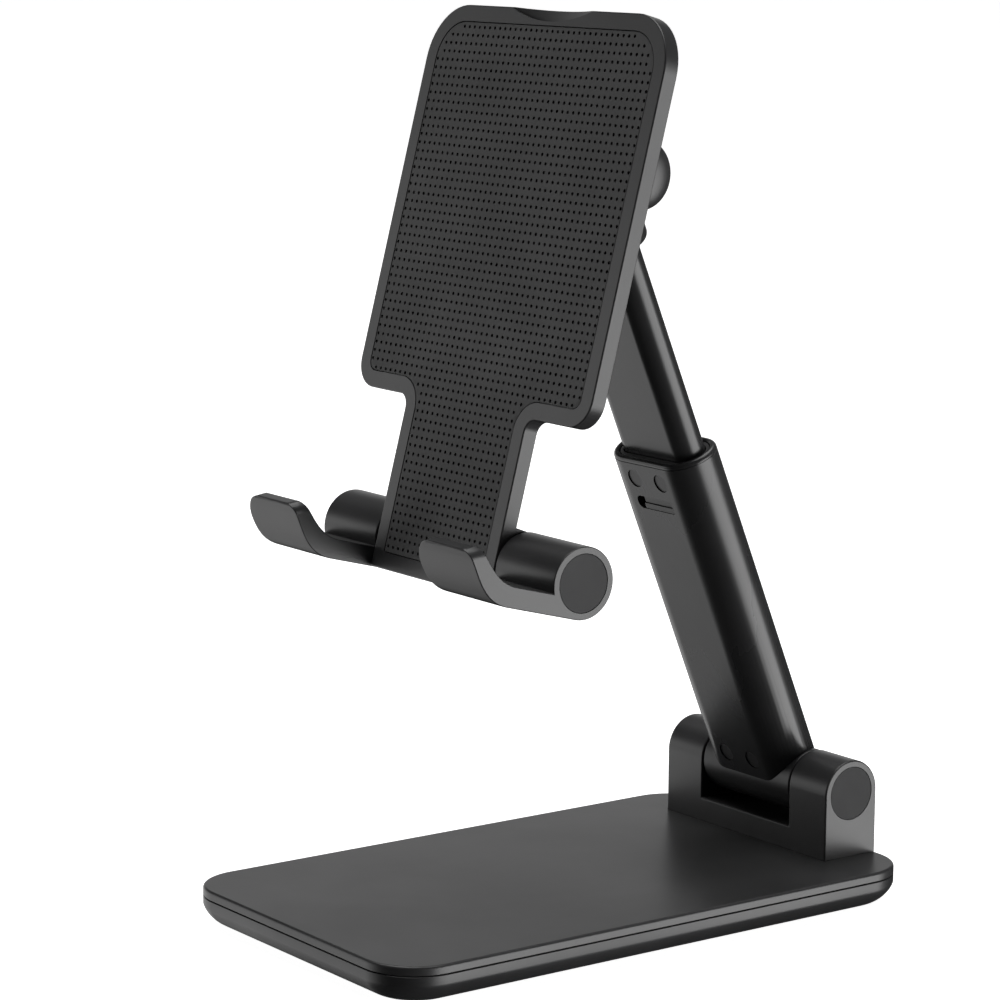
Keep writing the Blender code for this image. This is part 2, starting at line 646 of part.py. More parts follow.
def make_holder(holder):
    plate = prism(holder_outline(), PLATE_FRONT, PLATE_BACK, "Y")
    knuckle = [(PLATE_FRONT + MM, -KNUCKLE_RADIUS)]
    knuckle += arc((0.0, 0.0), KNUCKLE_RADIUS, -pi / 2, pi / 2, 16)
    knuckle.append((PLATE_FRONT + MM, KNUCKLE_RADIUS + KNUCKLE_RISE))
    for side in (-1, 1):
        low, high = span(EAR_INNER, KNUCKLE_OUTER, side)
        join(plate, prism(knuckle, low, high, "X"))
        cut(plate, rod(PIVOT_HOLE, low - MM, high + MM))
    pocket_depth = PAD_THICKNESS + PAD_GAP
    cut(plate, prism(holder_outline(PAD_INSET - 0.1 * MM), PLATE_FRONT - MM, PLATE_FRONT + pocket_depth, "Y"))
    cut(plate, scoop_cutter())
    for spot in bracket_spots():
        cut(plate, rod(2.3 * MM, PLATE_FRONT, PLATE_FRONT + 2.1 * MM, "Y", spot, 16))
        cut(plate, rod(1.2 * MM, PLATE_FRONT, PLATE_BACK + MM, "Y", spot, 10))
    add(plate, "holder_plate", "satin_black", holder)

    pad_front = PLATE_FRONT + 0.05 * MM
    pad = prism(holder_outline(PAD_INSET), pad_front, pad_front + PAD_THICKNESS, "Y")
    add(pad, "holder_pad", "soft_black_rubber", holder)

    plate_near = PLATE_BACK + CLEARANCE
    foot = rounded_box(2 * LUG_OUTER + 3 * MM, BRACKET_Z[1] - BRACKET_Z[0], 2.5 * MM, 4,
                       (0.0, sum(BRACKET_Z) / 2))
    bracket = prism(foot, plate_near, plate_near + BRACKET_THICKNESS, "Y")
    lug = [(plate_near + 0.5 * MM, TILT_Z - BARREL_RADIUS), (TILT_Y, TILT_Z - BARREL_RADIUS)]
    lug += arc((TILT_Y, TILT_Z), BARREL_RADIUS, -pi / 2, pi / 2, 16)[1:]
    lug.append((plate_near + 0.5 * MM, TILT_Z + BARREL_RADIUS))
    centre = (TILT_Y, TILT_Z)
    for side in (-1, 1):
        low, high = span(EAR_INNER, LUG_OUTER, side)
        join(bracket, prism(lug, low, high, "X"))
        cut(bracket, rod(PIVOT_HOLE, low - MM, high + MM, "X", centre))
        cut(bracket, rod(WASHER_SEAT, *span(LUG_BEARING, LUG_OUTER + 3 * MM, side), "X", centre))
    for spot in bracket_spots():
        cut(bracket, rod(0.95 * MM, plate_near - MM, plate_near + 3.2 * MM, "Y", spot, 10))
    add(bracket, "head_bracket", "black_abs", holder)

    for number, spot in enumerate(bracket_spots(), 1):
        screw = rod(2.1 * MM, PLATE_FRONT + 1.45 * MM, PLATE_FRONT + 1.95 * MM, "Y", spot, 16)
        join(screw, rod(0.8 * MM, PLATE_FRONT + 1.7 * MM, plate_near + 2.9 * MM, "Y", spot, 10))
        add(screw, f"bracket_screw_{number}", "steel", holder)


def make_head_pivot(tilt):
    """Bolt, dished spring washer, nut and domed caps, in a frame on the tilt axis."""
    face = LUG_BEARING + 0.15 * MM
    add(bolt(-20.1 * MM, face, face + 3.1 * MM, BOLT_HEAD_RADIUS), "head_pivot_bolt", "steel", tilt)
    spring = washer(PIVOT_HOLE, SPRING_RADIUS, -face - 0.6 * MM, -face, -0.3 * MM)
    add(spring, "head_pivot_spring_washer", "steel", tilt)
    add(hex_nut(NUT_FLATS, PIVOT_HOLE, -20.1 * MM, -17.8 * MM), "head_pivot_nut", "steel", tilt)
    inner = LUG_OUTER + 0.2 * MM
    lip_end = LUG_OUTER - 0.2 * MM
    for side, word in ((-1, "left"), (1, "right")):
        profile = [(0.0, mirrored(lip_end, side)), (DOME_SPIGOT, mirrored(lip_end, side)),
                   (DOME_SPIGOT, mirrored(inner, side))]
        for i in range(8):
            angle = pi / 2 * i / 8
            radius = BARREL_RADIUS * cos(angle) ** DOME_FULLNESS
            profile.append((radius, mirrored(inner + (DOME_TIP - inner) * sin(angle), side)))
        profile.append((0.0, mirrored(DOME_TIP, side)))
        add(turned(profile, 24), f"head_pivot_cap_{word}", "satin_black", tilt)


# ---------------------------------------------------------------- hooks

def hook_profile():
    """A hook seen from its side, in (y, z): the barrel, a flat web and a lip that flares forward."""
    under = [(-x, z) for x, z in bezier((15.5 * MM, -HOOK_BARREL), (21.5 * MM, -HOOK_BARREL),
                                        (23.1 * MM, -1.5 * MM), (26.1 * MM, 1.45 * MM), 8)]
    over = [(-x, z) for x, z in bezier((22.9 * MM, 2.05 * MM), (20.6 * MM, 0.05 * MM),
                                       (18.6 * MM, HOOK_WEB_TOP), (14.2 * MM, HOOK_WEB_TOP), 8)]
    tip = filleted([(*under[-1], 0.0), (*HOOK_TIP, 0.35 * MM), (*HOOK_EDGE, 0.9 * MM), (*over[0], 0.0)], 4)
    meet = atan2(HOOK_WEB_TOP, -sqrt(HOOK_BARREL ** 2 - HOOK_WEB_TOP ** 2))
    round_back = arc((0.0, 0.0), HOOK_BARREL, meet + 2 * pi, -pi / 2, 22)
    return under[:-1] + tip + over[1:] + round_back


def lip_corner_cutter(x, radius, side):
    """The waste outside a rounded corner of the lip, drawn on its slope and carried along its end face."""
    start = 0.0 if side > 0 else pi
    inner_x = x - side * radius
    beyond = x + side * MM
    waste = [(beyond, -radius)] + arc((inner_x, -radius), radius, start, pi / 2, 8)
    waste += [(inner_x, MM), (beyond, MM)]
    end_y, end_z = HOOK_EDGE[0] - HOOK_TIP[0], HOOK_EDGE[1] - HOOK_TIP[1]
    sections = []
    for reach in (-1.0, 3.0):
        origin_y = HOOK_TIP[0] + reach * end_y
        origin_z = HOOK_TIP[1] + reach * end_z
        ring = [(px, origin_y + v * cos(LIP_SLOPE), origin_z + v * sin(LIP_SLOPE)) for px, v in waste]
        sections.append(ring)
    return loft(sections)


def make_hook(side, word, frame):
    low, high = span(HOOK_INNER, HOOK_OUTER, side)
    hook = prism(hook_profile(), low, high, "X")
    cut(hook, lip_corner_cutter(low, LIP_CORNER_LEFT, -1), lip_corner_cutter(high, LIP_CORNER_RIGHT, 1))
    cut(hook, rod(PIVOT_HOLE + 0.05 * MM, low - MM, high + MM))
    cap_seat = span(HOOK_OUTER - 1.6 * MM, HOOK_OUTER + MM, side)
    cut(hook, rod(HOOK_CAP_RADIUS + CLEARANCE, *cap_seat, segments=24))
    cut(hook, rod(WASHER_RADIUS, *span(HOOK_BEARING, HOOK_OUTER, side)))
    cut(hook, rod(WASHER_SEAT, *span(HOOK_INNER - MM, HOOK_INNER + WASHER_RECESS, side)))
    add(hook, f"hook_{word}", "satin_black", frame)

    low, high = span(NECK_HALF + 0.15 * MM, HOOK_INNER + WASHER_RECESS - 0.15 * MM, side)
    add(washer(PIVOT_HOLE, WASHER_RADIUS, low, high), f"hook_washer_{word}", "black_acetal", frame)
    low, high = span(HOOK_BEARING + 0.15 * MM, HOOK_BEARING + 0.65 * MM, side)
    spring = washer(PIVOT_HOLE, 3.9 * MM, low, high, side * 0.3 * MM)
    add(spring, f"hook_spring_washer_{word}", "steel", frame)
    inner = mirrored(HOOK_OUTER - 1.35 * MM, side)
    add(cap(HOOK_CAP_RADIUS, inner, mirrored(HOOK_OUTER, side)), f"hook_cap_{word}", "grey_cap", frame)


def make_hook_pin(side, word, frame):
    """A shouldered pin fixed in the neck's knuckle; the hook turns on it."""
    start = HOOK_BEARING + 1.1 * MM
    pin = bolt(mirrored(13.6 * MM, side), mirrored(start, side), mirrored(start + 2.4 * MM, side), 3.8 * MM)
    add(pin, f"hook_pin_{word}", "steel", frame)


# ---------------------------------------------------------------- assembly

clear_scene()
MATERIALS = make_materials()

base_axis = make_frame("base_hinge_axis", (0.0, HINGE_Y, HINGE_Z))
arm_fold_axis = make_frame("arm_fold_axis", (0.0, HINGE_Y, HINGE_Z), ARM_LEAN)
arm_slide_axis = make_frame("arm_slide_axis", (0.0, 0.0, 0.0), 0.0, arm_fold_axis)
tilt_angle = -ARM_LEAN - HOLDER_LEAN
panel_tilt_axis = make_frame("panel_tilt_axis", (0.0, 0.0, HEAD_AXIS), tilt_angle, arm_slide_axis)
holder_frame = make_frame("holder_frame", (0.0, -TILT_Y, -TILT_Z), 0.0, panel_tilt_axis)

make_base()
make_hinge_block()
make_base_pivot(base_axis)
make_lower_arm(arm_fold_axis)
make_inner_arm(arm_slide_axis)
make_holder(holder_frame)
make_head_pivot(panel_tilt_axis)
for hook_side, hook_word in ((-1, "left"), (1, "right")):
    hook_axis = make_frame(f"{hook_word}_hook_axis", (0.0, 0.0, 0.0), 0.0, holder_frame)
    make_hook(hook_side, hook_word, hook_axis)
    make_hook_pin(hook_side, hook_word, holder_frame)
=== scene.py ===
"""The looks of the folding phone stand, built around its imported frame."""

import json
from math import acos, asin, atan2, cos, pi, radians, sin, sqrt

import bmesh
import bpy
from mathutils import Euler, Matrix, Vector


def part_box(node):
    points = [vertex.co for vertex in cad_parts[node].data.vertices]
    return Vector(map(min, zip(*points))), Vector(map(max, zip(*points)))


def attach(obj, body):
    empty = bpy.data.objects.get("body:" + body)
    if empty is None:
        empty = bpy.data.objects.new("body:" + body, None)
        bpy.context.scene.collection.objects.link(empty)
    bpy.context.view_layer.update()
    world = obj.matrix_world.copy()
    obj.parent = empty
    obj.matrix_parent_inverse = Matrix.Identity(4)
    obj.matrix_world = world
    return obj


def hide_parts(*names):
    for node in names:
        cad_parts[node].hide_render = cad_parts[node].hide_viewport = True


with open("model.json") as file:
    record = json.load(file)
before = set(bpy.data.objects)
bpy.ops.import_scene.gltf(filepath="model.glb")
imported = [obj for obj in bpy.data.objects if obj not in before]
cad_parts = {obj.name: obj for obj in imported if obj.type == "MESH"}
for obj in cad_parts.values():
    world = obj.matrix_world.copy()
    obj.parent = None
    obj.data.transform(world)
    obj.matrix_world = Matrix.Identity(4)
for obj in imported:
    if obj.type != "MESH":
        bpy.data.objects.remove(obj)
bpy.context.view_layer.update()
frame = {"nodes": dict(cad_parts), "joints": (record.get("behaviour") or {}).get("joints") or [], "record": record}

MM = 0.001

# The frames that the pieces are drawn in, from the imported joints.
JOINTS = {joint["name"]: joint for joint in frame["joints"]}
HINGE = Vector(JOINTS["arm_fold"]["pos_m"])
TILT = Vector(JOINTS["panel_tilt"]["pos_m"])
SLIDE = Vector(JOINTS["arm_slide"]["axis"])
MOUNTS = {mount["name"]: mount for mount in frame["record"]["mounts"]}
REST_NORMAL = Vector(MOUNTS["phone_rest_face"]["axis"])
ARM_LEAN = atan2(SLIDE.y, -SLIDE.z)
HOLDER_LEAN = atan2(REST_NORMAL.z, -REST_NORMAL.y)

# Base
BASE_CORNER = 10.5 * MM
SEAM_HEIGHT = 6.10 * MM
SEAM_GAP = 0.15 * MM
RIM_BOTTOM = 4.50 * MM
UNDERSIDE_INSET = 4.80 * MM
FOOT_CLEARANCE = 0.50 * MM
SHELL_HOLLOW = 6.0 * MM
SHELL_FLOOR = 2.0 * MM
FOOT_INSET = 6.2 * MM
FOOT_TOP = 0.8 * MM

# Base hinge
BLOCK_BOTTOM = 7.6 * MM
EAR_OUTER = 24.1 * MM
EAR_INNER = 13.26 * MM
NOTCH_BOTTOM = 12.7 * MM
NOTCH_WALL_Y = 5.3 * MM
NOTCH_WALL_TOP = 16.5 * MM
BARREL_RADIUS = 6.5 * MM
PIVOT_HOLE = 2.15 * MM
POCKET_RADIUS = 4.8 * MM
CAP_RADIUS = 5.25 * MM
CAP_SEAT = 1.3 * MM
CAP_GAP = 0.2 * MM
CAP_FIT = 0.03 * MM
HARDWARE_FACE = 17.6 * MM
WASHER_RECESS = 0.6 * MM

# Arm
SLEEVE_WIDTH = 24.85 * MM
SLEEVE_DEPTH = 12.04 * MM
SLEEVE_WALL = 1.2 * MM
SLEEVE_TOP = 73.0 * MM
RIM_LINE = 72.05 * MM             # fine groove below the rounded rim of the sleeve
RIM_ROUNDING = 0.8 * MM
ARM_BARREL_RADIUS = 6.38 * MM
SLEEVE_SADDLE = 6.47 * MM
BARREL_HALF = 13.0 * MM
TONGUE_TOP = 11.2 * MM
BUSH_BOTTOM = 58.6 * MM
BUSH_TOP = 72.6 * MM
TUBE_WIDTH = 20.9 * MM
TUBE_DEPTH = 7.0 * MM
TUBE_WALL = 1.0 * MM
TUBE_BOTTOM = 58.1 * MM
TUBE_TOP = 126.5 * MM
HEAD_BOTTOM = 116.0 * MM
HEAD_ROUNDING = 1.8 * MM
HEAD_AXIS = 131.9 * MM
HEAD_PIN_Z = 123.5 * MM
BUTTON_X = 3.9 * MM
BUTTON_RADIUS = 1.85 * MM
BUTTON_SUNK = 0.22 * MM
LOW_BUTTON_Z = 6.5 * MM
HIGH_BUTTON_Z = 68.67 * MM
PIN_RADIUS = 1.0 * MM
PIN_HOLE = 1.2 * MM
SLOT_X = (-5.3 * MM, 5.3 * MM)
SLOT_Z = (62.15 * MM, 64.9 * MM)
SLOT_SPLIT = 63.45 * MM
LEAF_START = -3.15 * MM

# Holder
PLATE_FRONT = -6.5 * MM
PLATE_THICKNESS = 3.13 * MM
PLATE_BACK = PLATE_FRONT + PLATE_THICKNESS
WIDE_HALF = 35.92 * MM
NECK_HALF = 18.58 * MM
PLATE_TOP = 100.44 * MM
PLATE_SHOULDER = 26.3 * MM
PLATE_BOTTOM = -6.5 * MM
TOP_CORNER = 10.5 * MM
SHOULDER_CORNER = 5.3 * MM
NECK_FILLET = 2.6 * MM
KNUCKLE_RADIUS = 6.4 * MM
KNUCKLE_OUTER = NECK_HALF - 0.05 * MM
KNUCKLE_RISE = 0.6 * MM
PAD_INSET = 3.3 * MM
PAD_THICKNESS = 1.0 * MM
PAD_GAP = 0.25 * MM
PAD_SLIT = 0.17 * MM
SCOOP_HALF = 12.5 * MM
SCOOP_DROP = 2.4 * MM
SCOOP_DEPTH = 2.0 * MM
DIMPLE_PITCH = (1.606 * MM, 1.6126 * MM)
DIMPLE_ROW_Z = 1.093 * MM         # height of one row; the others follow at the pitch
DIMPLE_SQUARE = 0.38 * MM         # half the side of the flat patch around a dimple
DIMPLE_RADIUS = 0.355 * MM
DIMPLE_DEPTH = 0.45 * MM
DIMPLE_MARGIN = 0.45 * MM
DIMPLE_CORNER = 8.0 * MM
TILT_Z = 73.6 * MM
TILT_Y = 5.63 * MM
LUG_OUTER = 20.5 * MM
LUG_BEARING = 16.6 * MM
DOME_FULLNESS = 0.8
DOME_SPIGOT = 4.5 * MM
DOME_TIP = 22.9 * MM
BRACKET_Z = (65.5 * MM, 81.7 * MM)
BRACKET_THICKNESS = 1.6 * MM
BRACKET_CORNER = 2.5 * MM

# Hooks
HOOK_INNER = 18.95 * MM
HOOK_OUTER = 36.3 * MM
HOOK_BARREL = 6.6 * MM
HOOK_WEB_TOP = -2.8 * MM
HOOK_BEARING = 30.5 * MM
HOOK_POCKET = 4.6 * MM
HOOK_TIP = (-26.485 * MM, 1.843 * MM)
HOOK_EDGE = (-24.01 * MM, 2.90 * MM)
LIP_SLOPE = radians(134.4)
LIP_CORNER_LEFT = 5.9 * MM
LIP_CORNER_RIGHT = 2.3 * MM
HOOK_CAP_RADIUS = 5.35 * MM
HOOK_CAP_SEAT = 1.6 * MM
HOOK_CAP_THICKNESS = 1.3 * MM
CAP_SUNK = 0.05 * MM
CLEARANCE = 0.2 * MM

BASE_LOW, BASE_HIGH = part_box("base_top_cover")
BASE_WIDTH = BASE_HIGH.x - BASE_LOW.x
BASE_LENGTH = BASE_HIGH.y - BASE_LOW.y
BASE_HEIGHT = BASE_HIGH.z


# ---------------------------------------------------------------- frames

def frame_matrix(origin, lean):
    return Matrix.Translation(origin) @ Euler((lean, 0.0, 0.0)).to_matrix().to_4x4()


WORLD = Matrix.Identity(4)
ARM = frame_matrix(HINGE, ARM_LEAN)
TILTED = frame_matrix(TILT, -HOLDER_LEAN)
HOLDER = TILTED @ Matrix.Translation((0.0, -TILT_Y, -TILT_Z))
AT_HINGE = Matrix.Translation(HINGE)


# ---------------------------------------------------------------- outlines

def arc(centre, radius, start, end, steps):
    """Points on an arc, both ends included; angles in radians."""
    points = []
    for i in range(steps + 1):
        angle = start + (end - start) * i / steps
        points.append((centre[0] + radius * cos(angle), centre[1] + radius * sin(angle)))
    return points


def circle(radius, steps=64, centre=(0.0, 0.0)):
    return arc(centre, radius, 0.0, 2 * pi, steps)[:-1]


def filleted(corners, steps=12):
    """A closed outline from (x, y, fillet radius) corners."""
    points = []
    count = len(corners)
    for i, (x, y, radius) in enumerate(corners):
        here = Vector((x, y))
        if radius == 0.0:
            points.append((x, y))
            continue
        before = (Vector(corners[i - 1][:2]) - here).normalized()
        after = (Vector(corners[(i + 1) % count][:2]) - here).normalized()
        half = acos(max(-1.0, min(1.0, before.dot(after)))) / 2
        centre = here + (before + after).normalized() * (radius / sin(half))
        reach = sqrt(radius * radius / (sin(half) ** 2) - radius * radius)
        first = here + before * reach - centre
        last = here + after * reach - centre
        start = atan2(first.y, first.x)
        turn = (atan2(last.y, last.x) - start + pi) % (2 * pi) - pi
        points += arc(centre, radius, start, start + turn, steps)
    return points


def rounded_box(width, length, radius, steps=12, centre=(0.0, 0.0)):
    x, y = width / 2, length / 2
    corners = [(-x, -y, radius), (x, -y, radius), (x, y, radius), (-x, y, radius)]
    return filleted([(px + centre[0], py + centre[1], r) for px, py, r in corners], steps)


def stadium(width, depth, steps=24):
    """A flat bar's section with fully round sides, in (x, y)."""
    reach = (width - depth) / 2
    right = arc((reach, 0.0), depth / 2, -pi / 2, pi / 2, steps)
    left = arc((-reach, 0.0), depth / 2, pi / 2, 3 * pi / 2, steps)
    return right + left


def bezier(p0, p1, p2, p3, steps):
    points = []
    for i in range(steps + 1):
        t = i / steps
        weights = ((1 - t) ** 3, 3 * t * (1 - t) ** 2, 3 * t * t * (1 - t), t ** 3)
        points.append(tuple(sum(w * p[k] for w, p in zip(weights, (p0, p1, p2, p3))) for k in (0, 1)))
    return points


def span(inner, outer, side):
    """Low and high X of a stretch on the left (-1) or the right (+1)."""
    return sorted((inner * side, outer * side))


# ---------------------------------------------------------------- solids

def mesh_object(bm, name="piece"):
    bmesh.ops.remove_doubles(bm, verts=bm.verts, dist=1e-7)
    bmesh.ops.recalc_face_normals(bm, faces=bm.faces)
    mesh = bpy.data.meshes.new(name)
    bm.to_mesh(mesh)
    bm.free()
    obj = bpy.data.objects.new(name, mesh)
    bpy.context.scene.collection.objects.link(obj)
    return obj


def loft(sections, name="piece"):
    """A closed solid through equal-length rings of points."""
    bm = bmesh.new()
    rings = [[bm.verts.new(point) for point in ring] for ring in sections]
    for lower, upper in zip(rings, rings[1:]):
        for i in range(len(lower)):
            j = (i + 1) % len(lower)
            bm.faces.new((lower[i], lower[j], upper[j], upper[i]))
    bm.faces.new(list(reversed(rings[0])))
    bm.faces.new(rings[-1])
    return mesh_object(bm, name)


PLACE = {
    "X": lambda a, b, level: (level, a, b),
    "Y": lambda a, b, level: (a, level, b),
    "Z": lambda a, b, level: (a, b, level),
}


def prism(outline, low, high, axis="Z"):
    """Extrude an outline along an axis: (y, z) along X, (x, z) along Y, (x, y) along Z."""
    place = PLACE[axis]
    return loft([[place(a, b, level) for a, b in outline] for level in (low, high)])


def rounded_prism(outline_at, low, high, axis="Z", low_edge=0.3 * MM, high_edge=0.3 * MM, steps=4):
    """Extrude outline_at(inset) with rounded rims at both ends."""
    place = PLACE[axis]
    levels = []
    for i in range(steps + 1):
        angle = pi / 2 * i / steps
        levels.append((low_edge * (1 - sin(angle)), low + low_edge * (1 - cos(angle))))
    for i in range(steps + 1):
        angle = pi / 2 * i / steps
        levels.append((high_edge * (1 - cos(angle)), high - high_edge * (1 - sin(angle))))
    return loft([[place(a, b, level) for a, b in outline_at(inset)] for inset, level in levels])


def turned(profile, segments=72, centre=(0.0, 0.0)):
    """Spin a closed (radius, x) profile about an axis parallel to X at (y, z) = centre."""
    bm = bmesh.new()
    verts = [bm.verts.new((x, centre[0] + radius, centre[1])) for radius, x in profile]
    edges = [bm.edges.new((a, b)) for a, b in zip(verts, verts[1:] + verts[:1])]
    bmesh.ops.spin(bm, geom=verts + edges, cent=(0.0, centre[0], centre[1]), axis=(1.0, 0.0, 0.0),
                   angle=2 * pi, steps=segments, use_merge=True)
    bmesh.ops.dissolve_degenerate(bm, dist=1e-7, edges=bm.edges)
    loose = [edge for edge in bm.edges if not edge.link_faces]
    bmesh.ops.delete(bm, geom=loose, context="EDGES")
    return mesh_object(bm)


def rod(radius, low, high, axis="X", centre=(0.0, 0.0), segments=64):
    return prism(circle(radius, segments, centre), low, high, axis)


def box(low, high):
    (x0, y0, z0), (x1, y1, z1) = low, high
    return prism([(x0, y0), (x1, y0), (x1, y1), (x0, y1)], z0, z1)


def apply_modifiers(obj):
    graph = bpy.context.evaluated_depsgraph_get()
    result = bpy.data.meshes.new_from_object(obj.evaluated_get(graph))
    obj.modifiers.clear()
    spent = obj.data
    obj.data = result
    bpy.data.meshes.remove(spent)
    return obj


def combine(obj, tool, operation):
    """Boolean a tool into an object and drop the tool."""
    modifier = obj.modifiers.new(operation.lower(), "BOOLEAN")
    modifier.operation = operation
    modifier.solver = "EXACT"
    modifier.object = tool
    apply_modifiers(obj)
    bpy.data.objects.remove(tool)
    return obj


def cut(obj, *tools):
    for tool in tools:
        combine(obj, tool, "DIFFERENCE")
    return obj


def join(obj, *tools):
    for tool in tools:
        combine(obj, tool, "UNION")
    return obj


def weld(obj, distance):
    """Merge points that lie closer together than a distance."""
    bm = bmesh.new()
    bm.from_mesh(obj.data)
    bmesh.ops.remove_doubles(bm, verts=bm.verts, dist=distance)
    bm.to_mesh(obj.data)
    bm.free()
    return obj


def soften(obj, width, segments=3, angle=40, clamp=True):
    """Round the edges sharper than an angle."""
    modifier = obj.modifiers.new("soften", "BEVEL")
    modifier.width = width
    modifier.segments = segments
    modifier.use_clamp_overlap = clamp
    modifier.limit_method = "ANGLE"
    modifier.angle_limit = radians(angle)
    return apply_modifiers(obj)


def place(obj, name, material, matrix, body, *nodes, sharp=35):
    """Finish a piece: its name, its look, its place, the body it rides on and the nodes it stands for."""
    obj.name = name
    obj.data.name = name
    obj.data.materials.clear()
    obj.data.materials.append(LOOKS[material])
    obj.data.shade_smooth()
    obj.data.set_sharp_from_angle(angle=radians(sharp))
    obj.data.transform(matrix)
    weighted = obj.modifiers.new("weighted", "WEIGHTED_NORMAL")
    weighted.keep_sharp = True
    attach(obj, body)
    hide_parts(*nodes)
    return obj


# ---------------------------------------------------------------- materials

def new_material(name, colour, roughness, metallic=0.0):
    material = bpy.data.materials.new(name)
    material.use_nodes = True
    tree = material.node_tree
    shader = tree.nodes["Principled BSDF"]
    shader.inputs["Base Color"].default_value = (*colour, 1.0)
    shader.inputs["Roughness"].default_value = roughness
    shader.inputs["Metallic"].default_value = metallic
    return material, tree, shader


def noise(tree, scale, detail=3.0, stretch=(1.0, 1.0, 1.0)):
    """Noise in the piece's own coordinates, finer along an axis where stretch is larger."""
    coordinates = tree.nodes.new("ShaderNodeTexCoord")
    mapping = tree.nodes.new("ShaderNodeMapping")
    mapping.inputs["Scale"].default_value = stretch
    texture = tree.nodes.new("ShaderNodeTexNoise")
    texture.inputs["Scale"].default_value = scale
    texture.inputs["Detail"].default_value = detail
    tree.links.new(coordinates.outputs["Object"], mapping.inputs["Vector"])
    tree.links.new(mapping.outputs["Vector"], texture.inputs["Vector"])
    return texture.outputs["Fac"]


def spread(tree, value, low, high):
    """Map a noise value from its usual 0.3..0.7 to low..high."""
    node = tree.nodes.new("ShaderNodeMapRange")
    node.inputs["From Min"].default_value = 0.3
    node.inputs["From Max"].default_value = 0.7
    node.inputs["To Min"].default_value = low
    node.inputs["To Max"].default_value = high
    tree.links.new(value, node.inputs["Value"])
    return node.outputs["Result"]


def mixed_colour(tree, factor, first, second):
    node = tree.nodes.new("ShaderNodeMix")
    node.data_type = "RGBA"
    node.inputs["A"].default_value = (*first, 1.0)
    node.inputs["B"].default_value = (*second, 1.0)
    tree.links.new(factor, node.inputs["Factor"])
    return node.outputs["Result"]


def bumped(tree, shader, height, distance, strength=1.0):
    node = tree.nodes.new("ShaderNodeBump")
    node.inputs["Distance"].default_value = distance
    node.inputs["Strength"].default_value = strength
    tree.links.new(height, node.inputs["Height"])
    tree.links.new(node.outputs["Normal"], shader.inputs["Normal"])


def surface(name, colour, roughness, metallic=0.0, grain=(9000.0, 0.004), mottle=0.12, scuff=0.05,
            stretch=(1.0, 1.0, 1.0), specular=0.5):
    """A moulded or coated surface: fine grain, faint mottling in colour and cloudy roughness."""
    material, tree, shader = new_material(name, colour, roughness, metallic)
    shader.inputs["Specular IOR Level"].default_value = specular
    clouds = noise(tree, 90.0, 4.0)
    darker = tuple(c * (1 - mottle) for c in colour)
    lighter = tuple(c * (1 + mottle) for c in colour)
    colour_out = mixed_colour(tree, spread(tree, clouds, 0.0, 1.0), darker, lighter)
    tree.links.new(colour_out, shader.inputs["Base Color"])
    smears = noise(tree, 38.0, 6.0, stretch)
    tree.links.new(spread(tree, smears, roughness - scuff, roughness + scuff), shader.inputs["Roughness"])
    bumped(tree, shader, noise(tree, grain[0], 2.0, stretch), grain[1] * MM, 0.5)
    return material


def make_looks():
    return {
        "satin_black": surface("satin_black", (0.040, 0.040, 0.041), 0.34, grain=(5000.0, 0.008),
                               scuff=0.02),
        "black_abs": surface("black_abs", (0.030, 0.030, 0.031), 0.36, grain=(4000.0, 0.010)),
        "anodised_black": surface("anodised_black", (0.035, 0.035, 0.036), 0.25, 0.0, (7000.0, 0.005),
                                  stretch=(1.0, 1.0, 0.25)),
        "soft_black_rubber": surface("soft_black_rubber", (0.072, 0.072, 0.072), 0.62,
                                     grain=(6000.0, 0.02)),
        "grey_cap": surface("grey_cap", (0.043, 0.043, 0.044), 0.62, grain=(6000.0, 0.015), specular=0.28),
        "steel": surface("steel", (0.55, 0.55, 0.56), 0.32, 1.0, grain=(6000.0, 0.006), mottle=0.05),
        "black_acetal": surface("black_acetal", (0.035, 0.035, 0.036), 0.30, grain=(4000.0, 0.006)),
    }


# ---------------------------------------------------------------- base

def base_outline(inset, steps=16):
    return rounded_box(BASE_WIDTH - 2 * inset, BASE_LENGTH - 2 * inset, BASE_CORNER - inset * 0.9, steps)


def ring_at(outline, height):
    return [(x, y, height) for x, y in outline]


def make_base():
    cover = rounded_prism(base_outline, SEAM_HEIGHT + SEAM_GAP, BASE_HEIGHT, "Z", 0.12 * MM, 0.55 * MM, 5)
    socket_gap = 0.12 * MM
    behind = 1.0 * MM
    socket = rounded_box(2 * (EAR_OUTER + socket_gap), 2 * (BARREL_RADIUS + socket_gap) + behind, 0.4 * MM, 4,
                         (0.0, HINGE.y + behind / 2))
    cut(cover, prism(socket, BLOCK_BOTTOM - 0.25 * MM, BASE_HEIGHT + MM))
    place(cover, "base_top_cover_detail", "satin_black", WORLD, "base", "base_top_cover")

    sections = []
    slope = bezier((UNDERSIDE_INSET, FOOT_CLEARANCE), (2.8 * MM, FOOT_CLEARANCE),
                   (0.5 * MM, 2.6 * MM), (0.0, RIM_BOTTOM), 10)
    for inset, height in slope:
        sections.append(ring_at(base_outline(inset), height))
    edge = 0.12 * MM
    sections.append(ring_at(base_outline(0.0), SEAM_HEIGHT - edge))
    sections.append(ring_at(base_outline(edge), SEAM_HEIGHT))
    shell = loft(sections)
    cut(shell, prism(base_outline(SHELL_HOLLOW), SHELL_FLOOR, SEAM_HEIGHT + MM))
    cut(shell, prism(base_outline(FOOT_INSET - 0.3 * MM), -MM, FOOT_TOP + 0.2 * MM))
    place(shell, "base_bottom_shell_detail", "black_abs", WORLD, "base", "base_bottom_shell")

    foot = rounded_prism(lambda inset: base_outline(FOOT_INSET + inset), 0.0, FOOT_TOP, "Z", 0.25 * MM)
    place(foot, "base_foot_pad_detail", "soft_black_rubber", WORLD, "base", "base_foot_pad")


